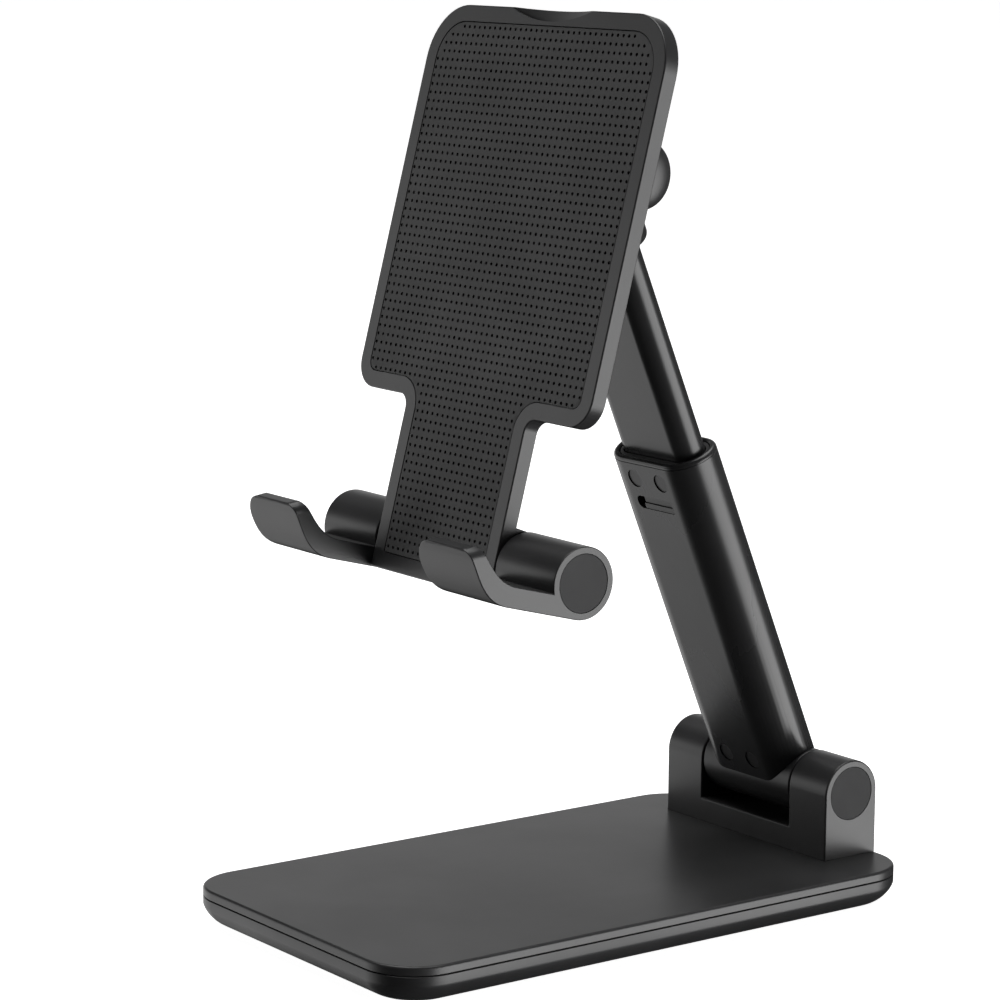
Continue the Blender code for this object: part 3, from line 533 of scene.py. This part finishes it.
def make_hinge_block():
    centre = (HINGE.y, HINGE.z)
    profile = [(HINGE.y - BARREL_RADIUS, BLOCK_BOTTOM), (HINGE.y + BARREL_RADIUS, BLOCK_BOTTOM)]
    profile += arc(centre, BARREL_RADIUS, 0.0, pi, 48)
    block = prism(profile, -EAR_OUTER, EAR_OUTER, "X")
    ahead, behind, above = HINGE.y - 10 * MM, HINGE.y + 10 * MM, HINGE.z + 10 * MM
    wall = HINGE.y + NOTCH_WALL_Y
    notch = [(ahead, above), (ahead, NOTCH_BOTTOM), (wall, NOTCH_BOTTOM), (wall, NOTCH_WALL_TOP),
             (behind, NOTCH_WALL_TOP), (behind, above)]
    cut(block, prism(notch, -EAR_INNER, EAR_INNER, "X"))
    soften(block, 0.35 * MM)
    cut(block, rod(PIVOT_HOLE, -30 * MM, 30 * MM, "X", centre, 32))
    for side in (-1, 1):
        seat = span(EAR_OUTER - CAP_SEAT, EAR_OUTER + MM, side)
        pocket = span(HARDWARE_FACE, EAR_OUTER, side)
        cut(block, rod(CAP_RADIUS + CAP_FIT, *seat, "X", centre, 72))
        cut(block, rod(POCKET_RADIUS, *pocket, "X", centre))
    place(block, "hinge_block_detail", "satin_black", WORLD, "base", "hinge_block")


def end_cap(radius, inner, outer, side):
    """A flush disc with a soft edge and a very shallow dish."""
    edge = 0.18 * MM
    profile = [(0.0, inner), (radius, inner)]
    for i in range(5):
        angle = pi / 2 * i / 4
        profile.append((radius - edge * (1 - cos(angle)), outer - edge * (1 - sin(angle))))
    profile += [(radius * 0.6, outer - 0.03 * MM), (0.0, outer - 0.05 * MM)]
    return turned([(r, x * side) for r, x in profile], 96)


def make_caps():
    for side, word in ((-1, "left"), (1, "right")):
        disc = end_cap(CAP_RADIUS, EAR_OUTER - CAP_SEAT + CAP_GAP, EAR_OUTER - CAP_SUNK, side)
        node = f"base_pivot_cap_{word}"
        place(disc, f"{node}_detail", "grey_cap", AT_HINGE, "base", node)
        face = HOOK_OUTER - CAP_SUNK
        disc = end_cap(HOOK_CAP_RADIUS, face - HOOK_CAP_THICKNESS, face, side)
        node = f"hook_cap_{word}"
        place(disc, f"{node}_detail", "grey_cap", HOLDER, f"{word}_hook", node)


# ---------------------------------------------------------------- arm

def hinge_barrel(radius, centre=(0.0, 0.0)):
    def outside(inset):
        return circle(radius - inset, 96, centre)

    return rounded_prism(outside, -BARREL_HALF, BARREL_HALF, "X")


def bore_barrel(obj, centre=(0.0, 0.0)):
    cut(obj, rod(PIVOT_HOLE, -BARREL_HALF - MM, BARREL_HALF + MM, "X", centre, 32))
    for side in (-1, 1):
        recess = span(BARREL_HALF - WASHER_RECESS, BARREL_HALF + MM, side)
        cut(obj, rod(POCKET_RADIUS, *recess, "X", centre))
    return obj


def button_holes(radius, height, deep):
    """Round cutters through the front of the arm, down to a depth."""
    return [rod(radius, -10 * MM, deep, "Y", (side * BUTTON_X, height)) for side in (-1, 1)]


def make_pins(name, height, front, tip, body):
    for side, word in ((-1, "left"), (1, "right")):
        spot = (side * BUTTON_X, height)

        def disc(inset, spot=spot):
            return circle(BUTTON_RADIUS - 0.03 * MM - inset, 48, spot)

        pin = rounded_prism(disc, front, front + 0.3 * MM, "Y", 0.05 * MM, 0.02 * MM)
        join(pin, rod(PIN_RADIUS, front + 0.2 * MM, tip, "Y", spot, 24))
        place(pin, f"{name}_{word}_detail", "satin_black", ARM, body, f"{name}_{word}")


def sleeve_levels():
    """Inset and height of the sleeve's outside: straight, a fine groove, then the rounded rim."""
    groove = 0.12 * MM
    levels = [(0.1 * MM, 0.0), (0.0, 0.1 * MM), (0.0, RIM_LINE - 0.10 * MM), (groove, RIM_LINE - 0.04 * MM),
              (groove, RIM_LINE + 0.06 * MM), (0.0, RIM_LINE + 0.12 * MM)]
    for i in range(1, 9):
        angle = pi / 16 * i
        levels.append((RIM_ROUNDING * (1 - cos(angle)), SLEEVE_TOP - RIM_ROUNDING * (1 - sin(angle))))
    return levels


def make_sleeve():
    inner_width = SLEEVE_WIDTH - 2 * SLEEVE_WALL
    inner_depth = SLEEVE_DEPTH - 2 * SLEEVE_WALL
    front = -SLEEVE_DEPTH / 2

    def outside(inset):
        return stadium(SLEEVE_WIDTH - 2 * inset, SLEEVE_DEPTH - 2 * inset)

    sleeve = loft([ring_at(outside(inset), height) for inset, height in sleeve_levels()])
    hole = [ring_at(stadium(inner_width, inner_depth), -MM),
            ring_at(stadium(inner_width, inner_depth), SLEEVE_TOP - 0.25 * MM),
            ring_at(stadium(inner_width + 0.5 * MM, inner_depth + 0.5 * MM), SLEEVE_TOP + 0.05 * MM)]
    cut(sleeve, loft(hole))
    cut(sleeve, rod(SLEEVE_SADDLE, -20 * MM, 20 * MM, "X", segments=96))
    round_end = (SLOT_Z[1] - SLOT_Z[0]) / 2 - 0.02 * MM
    corner = 0.25 * MM
    slot = filleted([(SLOT_X[0], SLOT_Z[0], round_end), (SLOT_X[1], SLOT_Z[0], corner),
                     (SLOT_X[1], SLOT_Z[1], corner), (SLOT_X[0], SLOT_Z[1], round_end)], 12)
    cut(sleeve, prism(slot, -10 * MM, 0.0, "Y"))
    cut(sleeve, *button_holes(BUTTON_RADIUS + 0.02 * MM, HIGH_BUTTON_Z, 0.0))
    cut(sleeve, *button_holes(BUTTON_RADIUS + 0.02 * MM, LOW_BUTTON_Z, front + 0.6 * MM))
    cut(sleeve, *button_holes(PIN_HOLE, LOW_BUTTON_Z, 0.0))
    place(sleeve, "arm_sleeve_detail", "anodised_black", ARM, "lower_arm", "arm_sleeve")

    barrel = hinge_barrel(ARM_BARREL_RADIUS)
    join(barrel, prism(stadium(inner_width - 0.6 * MM, inner_depth - 0.6 * MM), 0.0, TONGUE_TOP))
    bore_barrel(barrel)
    cut(barrel, *button_holes(PIN_HOLE, LOW_BUTTON_Z, 0.6 * MM))
    weld(barrel, 0.002 * MM)
    place(barrel, "arm_hinge_barrel_detail", "black_abs", ARM, "lower_arm", "arm_hinge_barrel")
    make_pins("arm_barrel_pin", LOW_BUTTON_Z, front + BUTTON_SUNK, 0.2 * MM, "lower_arm")

    gap = 0.2 * MM
    bush = prism(stadium(inner_width - 2 * gap, inner_depth - 2 * gap), BUSH_BOTTOM, BUSH_TOP)
    for side in (-1, 1):
        spot = (side * BUTTON_X, HIGH_BUTTON_Z)

        def disc(inset, spot=spot):
            return circle(BUTTON_RADIUS - 0.03 * MM - inset, 48, spot)

        join(bush, rounded_prism(disc, front + BUTTON_SUNK, -3.9 * MM, "Y", 0.05 * MM, 0.01 * MM))
    split = 0.05 * MM
    play = 0.09 * MM
    leaf_end = SLOT_X[1] - play
    leaf_root = -3.9 * MM
    lower_face, upper_face = front + 0.05 * MM, front + 0.25 * MM
    lower_leaf = box((LEAF_START - 0.2 * MM, lower_face, SLOT_Z[0] + play),
                     (leaf_end, leaf_root, SLOT_SPLIT - split))
    upper_leaf = box((LEAF_START, upper_face, SLOT_SPLIT + split), (leaf_end, leaf_root, SLOT_Z[1] - play))
    join(bush, soften(lower_leaf, 0.06 * MM, 2), soften(upper_leaf, 0.06 * MM, 2))
    hollow = stadium(TUBE_WIDTH + 2 * gap, TUBE_DEPTH + 2 * gap)
    cut(bush, prism(hollow, BUSH_BOTTOM - MM, BUSH_TOP + MM))
    place(bush, "sleeve_mouth_bush_detail", "black_abs", ARM, "lower_arm", "sleeve_mouth_bush")


def make_upper_arm():
    def outside(inset):
        return stadium(TUBE_WIDTH - 2 * inset, TUBE_DEPTH - 2 * inset)

    tube = rounded_prism(outside, TUBE_BOTTOM, TUBE_TOP, "Z", 0.15 * MM, 0.15 * MM)
    hollow = stadium(TUBE_WIDTH - 2 * TUBE_WALL, TUBE_DEPTH - 2 * TUBE_WALL)
    cut(tube, prism(hollow, TUBE_BOTTOM - MM, TUBE_TOP + MM))
    cut(tube, *button_holes(PIN_HOLE, HEAD_PIN_Z, 0.0))
    place(tube, "inner_tube_detail", "anodised_black", ARM, "upper_arm", "inner_tube")

    sections = []
    for i in range(9):
        angle = pi / 16 * i
        inset = HEAD_ROUNDING * (1 - sin(angle))
        height = HEAD_BOTTOM + HEAD_ROUNDING * (1 - cos(angle))
        sections.append(ring_at(stadium(SLEEVE_WIDTH - 2 * inset, SLEEVE_DEPTH - 2 * inset), height))
    sections.append(ring_at(stadium(SLEEVE_WIDTH, SLEEVE_DEPTH), HEAD_AXIS))
    head = join(loft(sections), hinge_barrel(BARREL_RADIUS, (0.0, HEAD_AXIS)))
    bore_barrel(head, (0.0, HEAD_AXIS))
    tube_fit = 0.3 * MM
    socket = stadium(TUBE_WIDTH + tube_fit, TUBE_DEPTH + tube_fit)
    cut(head, prism(socket, HEAD_BOTTOM - MM, TUBE_TOP + tube_fit))
    front = -SLEEVE_DEPTH / 2
    cut(head, *button_holes(BUTTON_RADIUS + 0.02 * MM, HEAD_PIN_Z, front + 0.6 * MM))
    cut(head, *button_holes(PIN_HOLE, HEAD_PIN_Z, 0.0))
    place(head, "arm_head_detail", "black_abs", ARM, "upper_arm", "arm_head")
    make_pins("arm_head_pin", HEAD_PIN_Z, front + BUTTON_SUNK, -1.6 * MM, "upper_arm")


# ---------------------------------------------------------------- holder

def holder_outline(inset=0.0, steps=14):
    """The plate's T-shaped outline in (x, z), moved in by an inset."""
    wide = WIDE_HALF - inset
    neck = NECK_HALF - inset
    top = PLATE_TOP - inset
    shoulder = PLATE_SHOULDER + inset
    bottom = PLATE_BOTTOM + inset
    outer_corner = max(SHOULDER_CORNER - inset, 0.8 * MM)
    half = [
        (neck, bottom, max(0.8 * MM - inset, 0.4 * MM)), (neck, shoulder, NECK_FILLET + inset),
        (wide, shoulder, outer_corner), (wide, top, TOP_CORNER - inset),
    ]
    left = [(-x, z, r) for x, z, r in reversed(half)]
    return filleted(half + left, steps)


def scoop_cutter():
    """The shallow finger scoop in the middle of the plate's front top edge."""
    outline_radius = (SCOOP_HALF ** 2 + SCOOP_DROP ** 2) / (2 * SCOOP_DROP)
    floor_radius = (SCOOP_HALF ** 2 + SCOOP_DEPTH ** 2) / (2 * SCOOP_DEPTH)
    middle = PLATE_TOP - SCOOP_DROP + outline_radius
    reach = asin(min(1.0, 1.4 * SCOOP_HALF / outline_radius))
    outline = arc((0.0, middle), outline_radius, -pi / 2 - reach, -pi / 2 + reach, 60)
    scoop = prism(outline, PLATE_FRONT - 3 * MM, PLATE_BACK, "Y")
    floor_centre = PLATE_FRONT + SCOOP_DEPTH - floor_radius
    spread_angle = asin(1.4 * SCOOP_HALF / floor_radius)
    floor = arc((0.0, floor_centre), floor_radius, pi / 2 - spread_angle, pi / 2 + spread_angle, 60)
    return combine(scoop, prism(floor, PLATE_TOP - 10 * MM, PLATE_TOP + 10 * MM), "INTERSECT")


def make_plate():
    plate = rounded_prism(holder_outline, PLATE_FRONT, PLATE_BACK, "Y", 0.28 * MM, 0.25 * MM, 4)
    knuckle = [(PLATE_FRONT + MM, -KNUCKLE_RADIUS)]
    knuckle += arc((0.0, 0.0), KNUCKLE_RADIUS, -pi / 2, pi / 2, 40)
    knuckle.append((PLATE_FRONT + MM, KNUCKLE_RADIUS + KNUCKLE_RISE))
    for side in (-1, 1):
        low, high = span(EAR_INNER, KNUCKLE_OUTER, side)
        lump = soften(prism(knuckle, low, high, "X"), 0.3 * MM)
        join(plate, lump)
        cut(plate, rod(PIVOT_HOLE, low - MM, high + MM, segments=32))
    pocket_floor = PLATE_FRONT + PAD_THICKNESS + PAD_GAP
    cut(plate, prism(holder_outline(PAD_INSET - PAD_SLIT), PLATE_FRONT - MM, pocket_floor, "Y"))
    cut(plate, scoop_cutter())
    weld(plate, 0.002 * MM)
    place(plate, "holder_plate_detail", "satin_black", HOLDER, "holder", "holder_plate")


def inside_holder(x, z, margin, corner=TOP_CORNER - PAD_INSET):
    """Whether a point lies inside the pad's outline by a margin; corners count as round."""
    inset = PAD_INSET + margin
    wide, neck = WIDE_HALF - inset, NECK_HALF - inset
    top, shoulder, bottom = PLATE_TOP - inset, PLATE_SHOULDER + inset, PLATE_BOTTOM + inset
    x = abs(x)
    if z < bottom or z > top or x > wide:
        return False
    if z < shoulder:
        if x <= neck:
            return True
        round_in = NECK_FILLET + inset
        dx, dz = x - (neck + round_in), z - (shoulder - round_in)
        return dx < 0 and dz > 0 and dx * dx + dz * dz > round_in ** 2
    radius = corner - margin
    dx, dz = x - (wide - radius), z - (top - radius)
    if dx > 0 and dz > 0:
        return dx * dx + dz * dz < radius * radius
    radius = max(SHOULDER_CORNER - inset, 0.8 * MM)
    dx, dz = x - (wide - radius), (shoulder + radius) - z
    if dx > 0 and dz > 0:
        return dx * dx + dz * dz < radius * radius
    return True


def dimple_centre(column, row):
    return column * DIMPLE_PITCH[0], DIMPLE_ROW_Z + row * DIMPLE_PITCH[1]


def dimple_cells():
    """Column and row of each dimple: a square grid kept clear of the rim."""
    columns = int(WIDE_HALF / DIMPLE_PITCH[0])
    rows = int(PLATE_TOP / DIMPLE_PITCH[1])
    half = DIMPLE_SQUARE
    cells = set()
    for row in range(-5, rows + 1):
        for column in range(-columns, columns + 1):
            x, z = dimple_centre(column, row)
            corners = [(x + sx * half, z + sz * half) for sx in (-1, 1) for sz in (-1, 1)]
            clear = all(inside_holder(cx, cz, 0.10 * MM) for cx, cz in corners)
            if clear and inside_holder(x, z, DIMPLE_MARGIN, DIMPLE_CORNER):
                cells.add((column, row))
    return cells


def make_pad():
    """The pad: a rimmed slab whose front is a grid of small round dimples."""
    front = PLATE_FRONT + 0.05 * MM
    back = front + PAD_THICKNESS
    bm = bmesh.new()
    edge = 0.09 * MM
    rings = []
    for inset, depth in ((0.0, back), (0.0, front + edge), (edge * 0.3, front + edge * 0.3), (edge, front)):
        rings.append([bm.verts.new((x, depth, z)) for x, z in holder_outline(PAD_INSET + inset)])
    bm.faces.new(rings[0])
    for lower, upper in zip(rings, rings[1:]):
        for i in range(len(lower)):
            j = (i + 1) % len(lower)
            bm.faces.new((lower[i], lower[j], upper[j], upper[i]))
    patch_corners = {}

    def corner(column, row, side_x, side_z):
        """A corner of the flat patch around one dimple."""
        key = (column, row, side_x, side_z)
        if key not in patch_corners:
            x, z = dimple_centre(column, row)
            spot = (x + side_x * DIMPLE_SQUARE, front, z + side_z * DIMPLE_SQUARE)
            patch_corners[key] = bm.verts.new(spot)
        return patch_corners[key]

    def dimple(column, row):
        centre_x, centre_z = dimple_centre(column, row)
        square = [corner(column, row, sx, sz) for sx, sz in ((1, -1), (1, 1), (-1, 1), (-1, -1))]
        rims = []
        for radius, depth in ((DIMPLE_RADIUS, front), (DIMPLE_RADIUS * 0.95, front + DIMPLE_DEPTH * 0.6),
                              (DIMPLE_RADIUS * 0.6, front + DIMPLE_DEPTH)):
            rims.append([bm.verts.new((centre_x + radius * cos(a), depth, centre_z + radius * sin(a)))
                         for a in (pi / 4 * k for k in range(-1, 7))])
        top = rims[0]
        for k in range(4):
            here, there = square[k], square[(k + 1) % 4]
            first, second, third = top[2 * k], top[2 * k + 1], top[(2 * k + 2) % 8]
            bm.faces.new((here, there, second, first))
            bm.faces.new((there, third, second))
        for outer, inner in zip(rims, rims[1:]):
            for k in range(8):
                bm.faces.new((outer[k], outer[(k + 1) % 8], inner[(k + 1) % 8], inner[k]))
        bm.faces.new(rims[-1])

    cells = dimple_cells()
    for column, row in sorted(cells):
        dimple(column, row)
        right, above, across = (column + 1, row), (column, row + 1), (column + 1, row + 1)
        if right in cells:
            bm.faces.new((corner(column, row, 1, -1), corner(*right, -1, -1),
                          corner(*right, -1, 1), corner(column, row, 1, 1)))
        if above in cells:
            bm.faces.new((corner(column, row, -1, 1), corner(column, row, 1, 1),
                          corner(*above, 1, -1), corner(*above, -1, -1)))
        if {right, above, across} <= cells:
            bm.faces.new((corner(column, row, 1, 1), corner(*right, -1, 1),
                          corner(*across, -1, -1), corner(*above, 1, -1)))
    open_edges = [e for e in bm.edges if len(e.link_faces) == 1]
    bmesh.ops.triangle_fill(bm, use_beauty=True, use_dissolve=False, edges=open_edges)
    pad = mesh_object(bm)
    place(pad, "holder_pad_detail", "soft_black_rubber", HOLDER, "holder", "holder_pad", sharp=30)


def make_bracket():
    near = PLATE_BACK + CLEARANCE
    width, height = 2 * LUG_OUTER + 3 * MM, BRACKET_Z[1] - BRACKET_Z[0]
    centre_z = sum(BRACKET_Z) / 2

    def foot(inset):
        corner = BRACKET_CORNER - inset * 0.9
        return rounded_box(width - 2 * inset, height - 2 * inset, corner, 8, (0.0, centre_z))

    bracket = rounded_prism(foot, near - 0.15 * MM, near + BRACKET_THICKNESS, "Y", 0.05 * MM, 0.4 * MM)
    lug = [(near + 0.5 * MM, TILT_Z - BARREL_RADIUS), (TILT_Y, TILT_Z - BARREL_RADIUS)]
    lug += arc((TILT_Y, TILT_Z), BARREL_RADIUS, -pi / 2, pi / 2, 40)[1:]
    lug.append((near + 0.5 * MM, TILT_Z + BARREL_RADIUS))
    centre = (TILT_Y, TILT_Z)
    for side in (-1, 1):
        low, high = span(EAR_INNER, LUG_OUTER, side)
        join(bracket, soften(prism(lug, low, high, "X"), 0.3 * MM))
        cut(bracket, rod(PIVOT_HOLE, low - MM, high + MM, "X", centre, 32))
        cut(bracket, rod(POCKET_RADIUS, *span(LUG_BEARING, LUG_OUTER + 3 * MM, side), "X", centre))
    place(bracket, "head_bracket_detail", "black_abs", HOLDER, "holder", "head_bracket")

    inner = LUG_OUTER + 0.12 * MM
    for side, word in ((-1, "left"), (1, "right")):
        profile = [(0.0, LUG_OUTER - 0.2 * MM), (DOME_SPIGOT, LUG_OUTER - 0.2 * MM), (DOME_SPIGOT, inner)]
        for i in range(20):
            angle = pi / 2 * i / 20
            radius = BARREL_RADIUS * cos(angle) ** DOME_FULLNESS
            profile.append((radius, inner + (DOME_TIP - inner) * sin(angle)))
        profile.append((0.0, DOME_TIP))
        dome = turned([(r, x * side) for r, x in profile], 96)
        node = f"head_pivot_cap_{word}"
        place(dome, f"{node}_detail", "satin_black", TILTED, "holder", node)


# ---------------------------------------------------------------- hooks

def hook_profile():
    """A hook seen from its side, in (y, z): the barrel, a flat web and a lip that flares forward."""
    under = [(-x, z) for x, z in bezier((15.5 * MM, -HOOK_BARREL), (21.5 * MM, -HOOK_BARREL),
                                        (23.1 * MM, -1.5 * MM), (26.1 * MM, 1.45 * MM), 24)]
    over = [(-x, z) for x, z in bezier((22.9 * MM, 2.05 * MM), (20.6 * MM, 0.05 * MM),
                                       (18.6 * MM, HOOK_WEB_TOP), (14.2 * MM, HOOK_WEB_TOP), 24)]
    tip = filleted([(*under[-1], 0.0), (*HOOK_TIP, 0.35 * MM), (*HOOK_EDGE, 0.9 * MM), (*over[0], 0.0)], 8)
    meet = atan2(HOOK_WEB_TOP, -sqrt(HOOK_BARREL ** 2 - HOOK_WEB_TOP ** 2))
    round_back = arc((0.0, 0.0), HOOK_BARREL, meet + 2 * pi, -pi / 2, 60)
    return under[:-1] + tip + over[1:] + round_back


def lip_corner_cutter(x, radius, side):
    """The waste outside a rounded corner of the lip, drawn on its slope and carried along its end face."""
    start = 0.0 if side > 0 else pi
    inner_x = x - side * radius
    beyond = x + side * MM
    waste = [(beyond, -radius)] + arc((inner_x, -radius), radius, start, pi / 2, 20)
    waste += [(inner_x, MM), (beyond, MM)]
    end_y, end_z = HOOK_EDGE[0] - HOOK_TIP[0], HOOK_EDGE[1] - HOOK_TIP[1]
    sections = []
    for reach in (-1.0, 3.0):
        origin_y = HOOK_TIP[0] + reach * end_y
        origin_z = HOOK_TIP[1] + reach * end_z
        ring = [(px, origin_y + v * cos(LIP_SLOPE), origin_z + v * sin(LIP_SLOPE)) for px, v in waste]
        sections.append(ring)
    return loft(sections)


def make_hooks():
    for side, word in ((-1, "left"), (1, "right")):
        low, high = span(HOOK_INNER, HOOK_OUTER, side)
        hook = prism(hook_profile(), low, high, "X")
        cut(hook, lip_corner_cutter(low, LIP_CORNER_LEFT, -1), lip_corner_cutter(high, LIP_CORNER_RIGHT, 1))
        weld(hook, 0.03 * MM)
        soften(hook, 0.2 * MM, clamp=False)
        cut(hook, rod(PIVOT_HOLE + 0.05 * MM, low - MM, high + MM, segments=32))
        seat = span(HOOK_OUTER - HOOK_CAP_SEAT, HOOK_OUTER + MM, side)
        cut(hook, rod(HOOK_CAP_RADIUS + CAP_FIT, *seat, segments=96))
        cut(hook, rod(HOOK_POCKET, *span(HOOK_BEARING, HOOK_OUTER, side)))
        cut(hook, rod(POCKET_RADIUS, *span(HOOK_INNER - MM, HOOK_INNER + WASHER_RECESS, side)))
        place(hook, f"hook_{word}_detail", "satin_black", HOLDER, f"{word}_hook", f"hook_{word}")


# ---------------------------------------------------------------- hidden hardware

def finish_cad_nodes():
    """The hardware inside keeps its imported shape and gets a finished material."""
    slots = {row["node"]: row["material_slot"] for row in frame["record"]["subparts"]}
    for name, node in frame["nodes"].items():
        if node.hide_render:
            continue
        node.data.materials.clear()
        node.data.materials.append(LOOKS[slots[name]])
        node.data.shade_smooth()
        node.data.set_sharp_from_angle(angle=radians(35))


# ---------------------------------------------------------------- studio

CAMERA_ANGLES = (radians(53.51), radians(9.66), radians(0.42))   # yaw, pitch down, roll
CAMERA_PLACE = (0.51497, -0.39291, 0.19179)
CAMERA_LENS = 126.48
CAMERA_SHIFT = (-0.0052, -0.0091)
TOP_LIGHT_PLACE = (-0.2, 0.1, 1.6)
TOP_LIGHT_SIZE = 1.6
TOP_LIGHT_POWER = 22.0
FLOOR_SIZE = 60.0
FLOOR_LEVEL = -0.2 * MM
FLOOR_GLOW = 0.97


def make_camera():
    yaw, pitch, roll = CAMERA_ANGLES
    forward = Vector((-sin(yaw) * cos(pitch), cos(yaw) * cos(pitch), -sin(pitch)))
    level_right = Vector((cos(yaw), sin(yaw), 0.0))
    level_up = level_right.cross(forward)
    right = level_right * cos(roll) + level_up * sin(roll)
    up = level_up * cos(roll) - level_right * sin(roll)
    camera = bpy.data.objects.new("camera", bpy.data.cameras.new("camera"))
    bpy.context.scene.collection.objects.link(camera)
    axes = Matrix((right, up, -forward)).transposed().to_4x4()
    camera.matrix_world = Matrix.Translation(CAMERA_PLACE) @ axes
    camera.data.sensor_width = 36.0
    camera.data.lens = CAMERA_LENS
    camera.data.shift_x, camera.data.shift_y = CAMERA_SHIFT
    camera.data.clip_start = 0.01
    bpy.context.scene.camera = camera


def area_light(name, position, target, size, power):
    light = bpy.data.lights.new(name, "AREA")
    light.shape = "SQUARE"
    light.size = size
    light.energy = power
    obj = bpy.data.objects.new(name, light)
    bpy.context.scene.collection.objects.link(obj)
    obj.location = position
    direction = Vector(target) - Vector(position)
    obj.rotation_euler = direction.to_track_quat("-Z", "Y").to_euler()
    return obj


def math_node(tree, operation, first, second=None):
    node = tree.nodes.new("ShaderNodeMath")
    node.operation = operation
    for socket, value in zip(node.inputs, (first, second)):
        if value is None:
            continue
        if isinstance(value, (int, float)):
            socket.default_value = value
        else:
            tree.links.new(value, socket)
    return node.outputs["Value"]


def along(tree, direction, axis):
    node = tree.nodes.new("ShaderNodeVectorMath")
    node.operation = "DOT_PRODUCT"
    node.inputs[1].default_value = axis
    tree.links.new(direction, node.inputs[0])
    return node.outputs["Value"]


def fade(tree, value, full, none):
    """1 where value is below full, 0 above none, smooth between."""
    node = tree.nodes.new("ShaderNodeMapRange")
    node.interpolation_type = "SMOOTHSTEP"
    node.inputs["From Min"].default_value = full
    node.inputs["From Max"].default_value = none
    node.inputs["To Min"].default_value = 1.0
    node.inputs["To Max"].default_value = 0.0
    tree.links.new(value, node.inputs["Value"])
    return node.outputs["Result"]


def softbox(tree, direction, azimuth, elevation, half_width, half_height, soft, strength):
    """A far, soft-edged rectangular panel of light; all angles in degrees."""
    turn = Euler((0.0, -radians(elevation), radians(azimuth))).to_matrix()
    ahead, side, up = turn.col[0], turn.col[1], turn.col[2]
    depth = along(tree, direction, ahead)
    safe = math_node(tree, "MAXIMUM", depth, 0.01)
    masks = []
    for axis, half in ((side, half_width), (up, half_height)):
        offset = math_node(tree, "DIVIDE", along(tree, direction, axis), safe)
        offset = math_node(tree, "ARCTANGENT", math_node(tree, "ABSOLUTE", offset))
        masks.append(fade(tree, offset, radians(half - soft), radians(half + soft)))
    both = math_node(tree, "MULTIPLY", *masks)
    facing = math_node(tree, "MULTIPLY", both, math_node(tree, "GREATER_THAN", depth, 0.0))
    return math_node(tree, "MULTIPLY", facing, strength)


# Softboxes: azimuth, elevation, half width, half height, edge softness, strength.
SOFTBOXES = (
    (33.0, -13.0, 24.0, 20.0, 7.0, 4.6),
    (202.0, -14.0, 40.0, 25.0, 8.0, 1.0),
    (214.0, -22.0, 14.0, 12.0, 8.0, 0.45),
    (222.0, 9.0, 22.0, 6.0, 5.0, 0.8),
    (143.0, 8.0, 22.0, 12.0, 8.0, 0.75),
)
AMBIENT = 0.012


def make_world():
    world = bpy.data.worlds.new("studio")
    world.use_nodes = True
    tree = world.node_tree
    direction = tree.nodes.new("ShaderNodeTexCoord").outputs["Generated"]
    total = None
    for row in SOFTBOXES:
        panel = softbox(tree, direction, *row)
        total = panel if total is None else math_node(tree, "ADD", total, panel)
    total = math_node(tree, "ADD", total, AMBIENT)
    tree.links.new(total, tree.nodes["Background"].inputs["Strength"])
    tree.nodes["Background"].inputs["Color"].default_value = (1.0, 1.0, 1.0, 1.0)
    bpy.context.scene.world = world


def make_studio():
    bpy.ops.mesh.primitive_plane_add(size=FLOOR_SIZE, location=(0.0, 0.0, FLOOR_LEVEL))
    floor = bpy.context.object
    floor.name = "floor"
    material, _, shader = new_material("floor", (0.80, 0.80, 0.80), 0.9)
    shader.inputs["Specular IOR Level"].default_value = 0.0
    shader.inputs["Emission Color"].default_value = (1.0, 1.0, 1.0, 1.0)
    shader.inputs["Emission Strength"].default_value = FLOOR_GLOW
    floor.data.materials.append(material)
    floor.visible_diffuse = False
    floor.visible_glossy = False
    floor.visible_shadow = False
    make_world()
    top = area_light("top", TOP_LIGHT_PLACE, (0.0, 0.0, 0.0), TOP_LIGHT_SIZE, TOP_LIGHT_POWER)
    top.data.specular_factor = 0.0
    bpy.context.scene.view_settings.view_transform = "Standard"


LOOKS = make_looks()
make_camera()
make_base()
make_hinge_block()
make_caps()
make_sleeve()
make_upper_arm()
make_plate()
make_pad()
make_bracket()
make_hooks()
finish_cad_nodes()
make_studio()
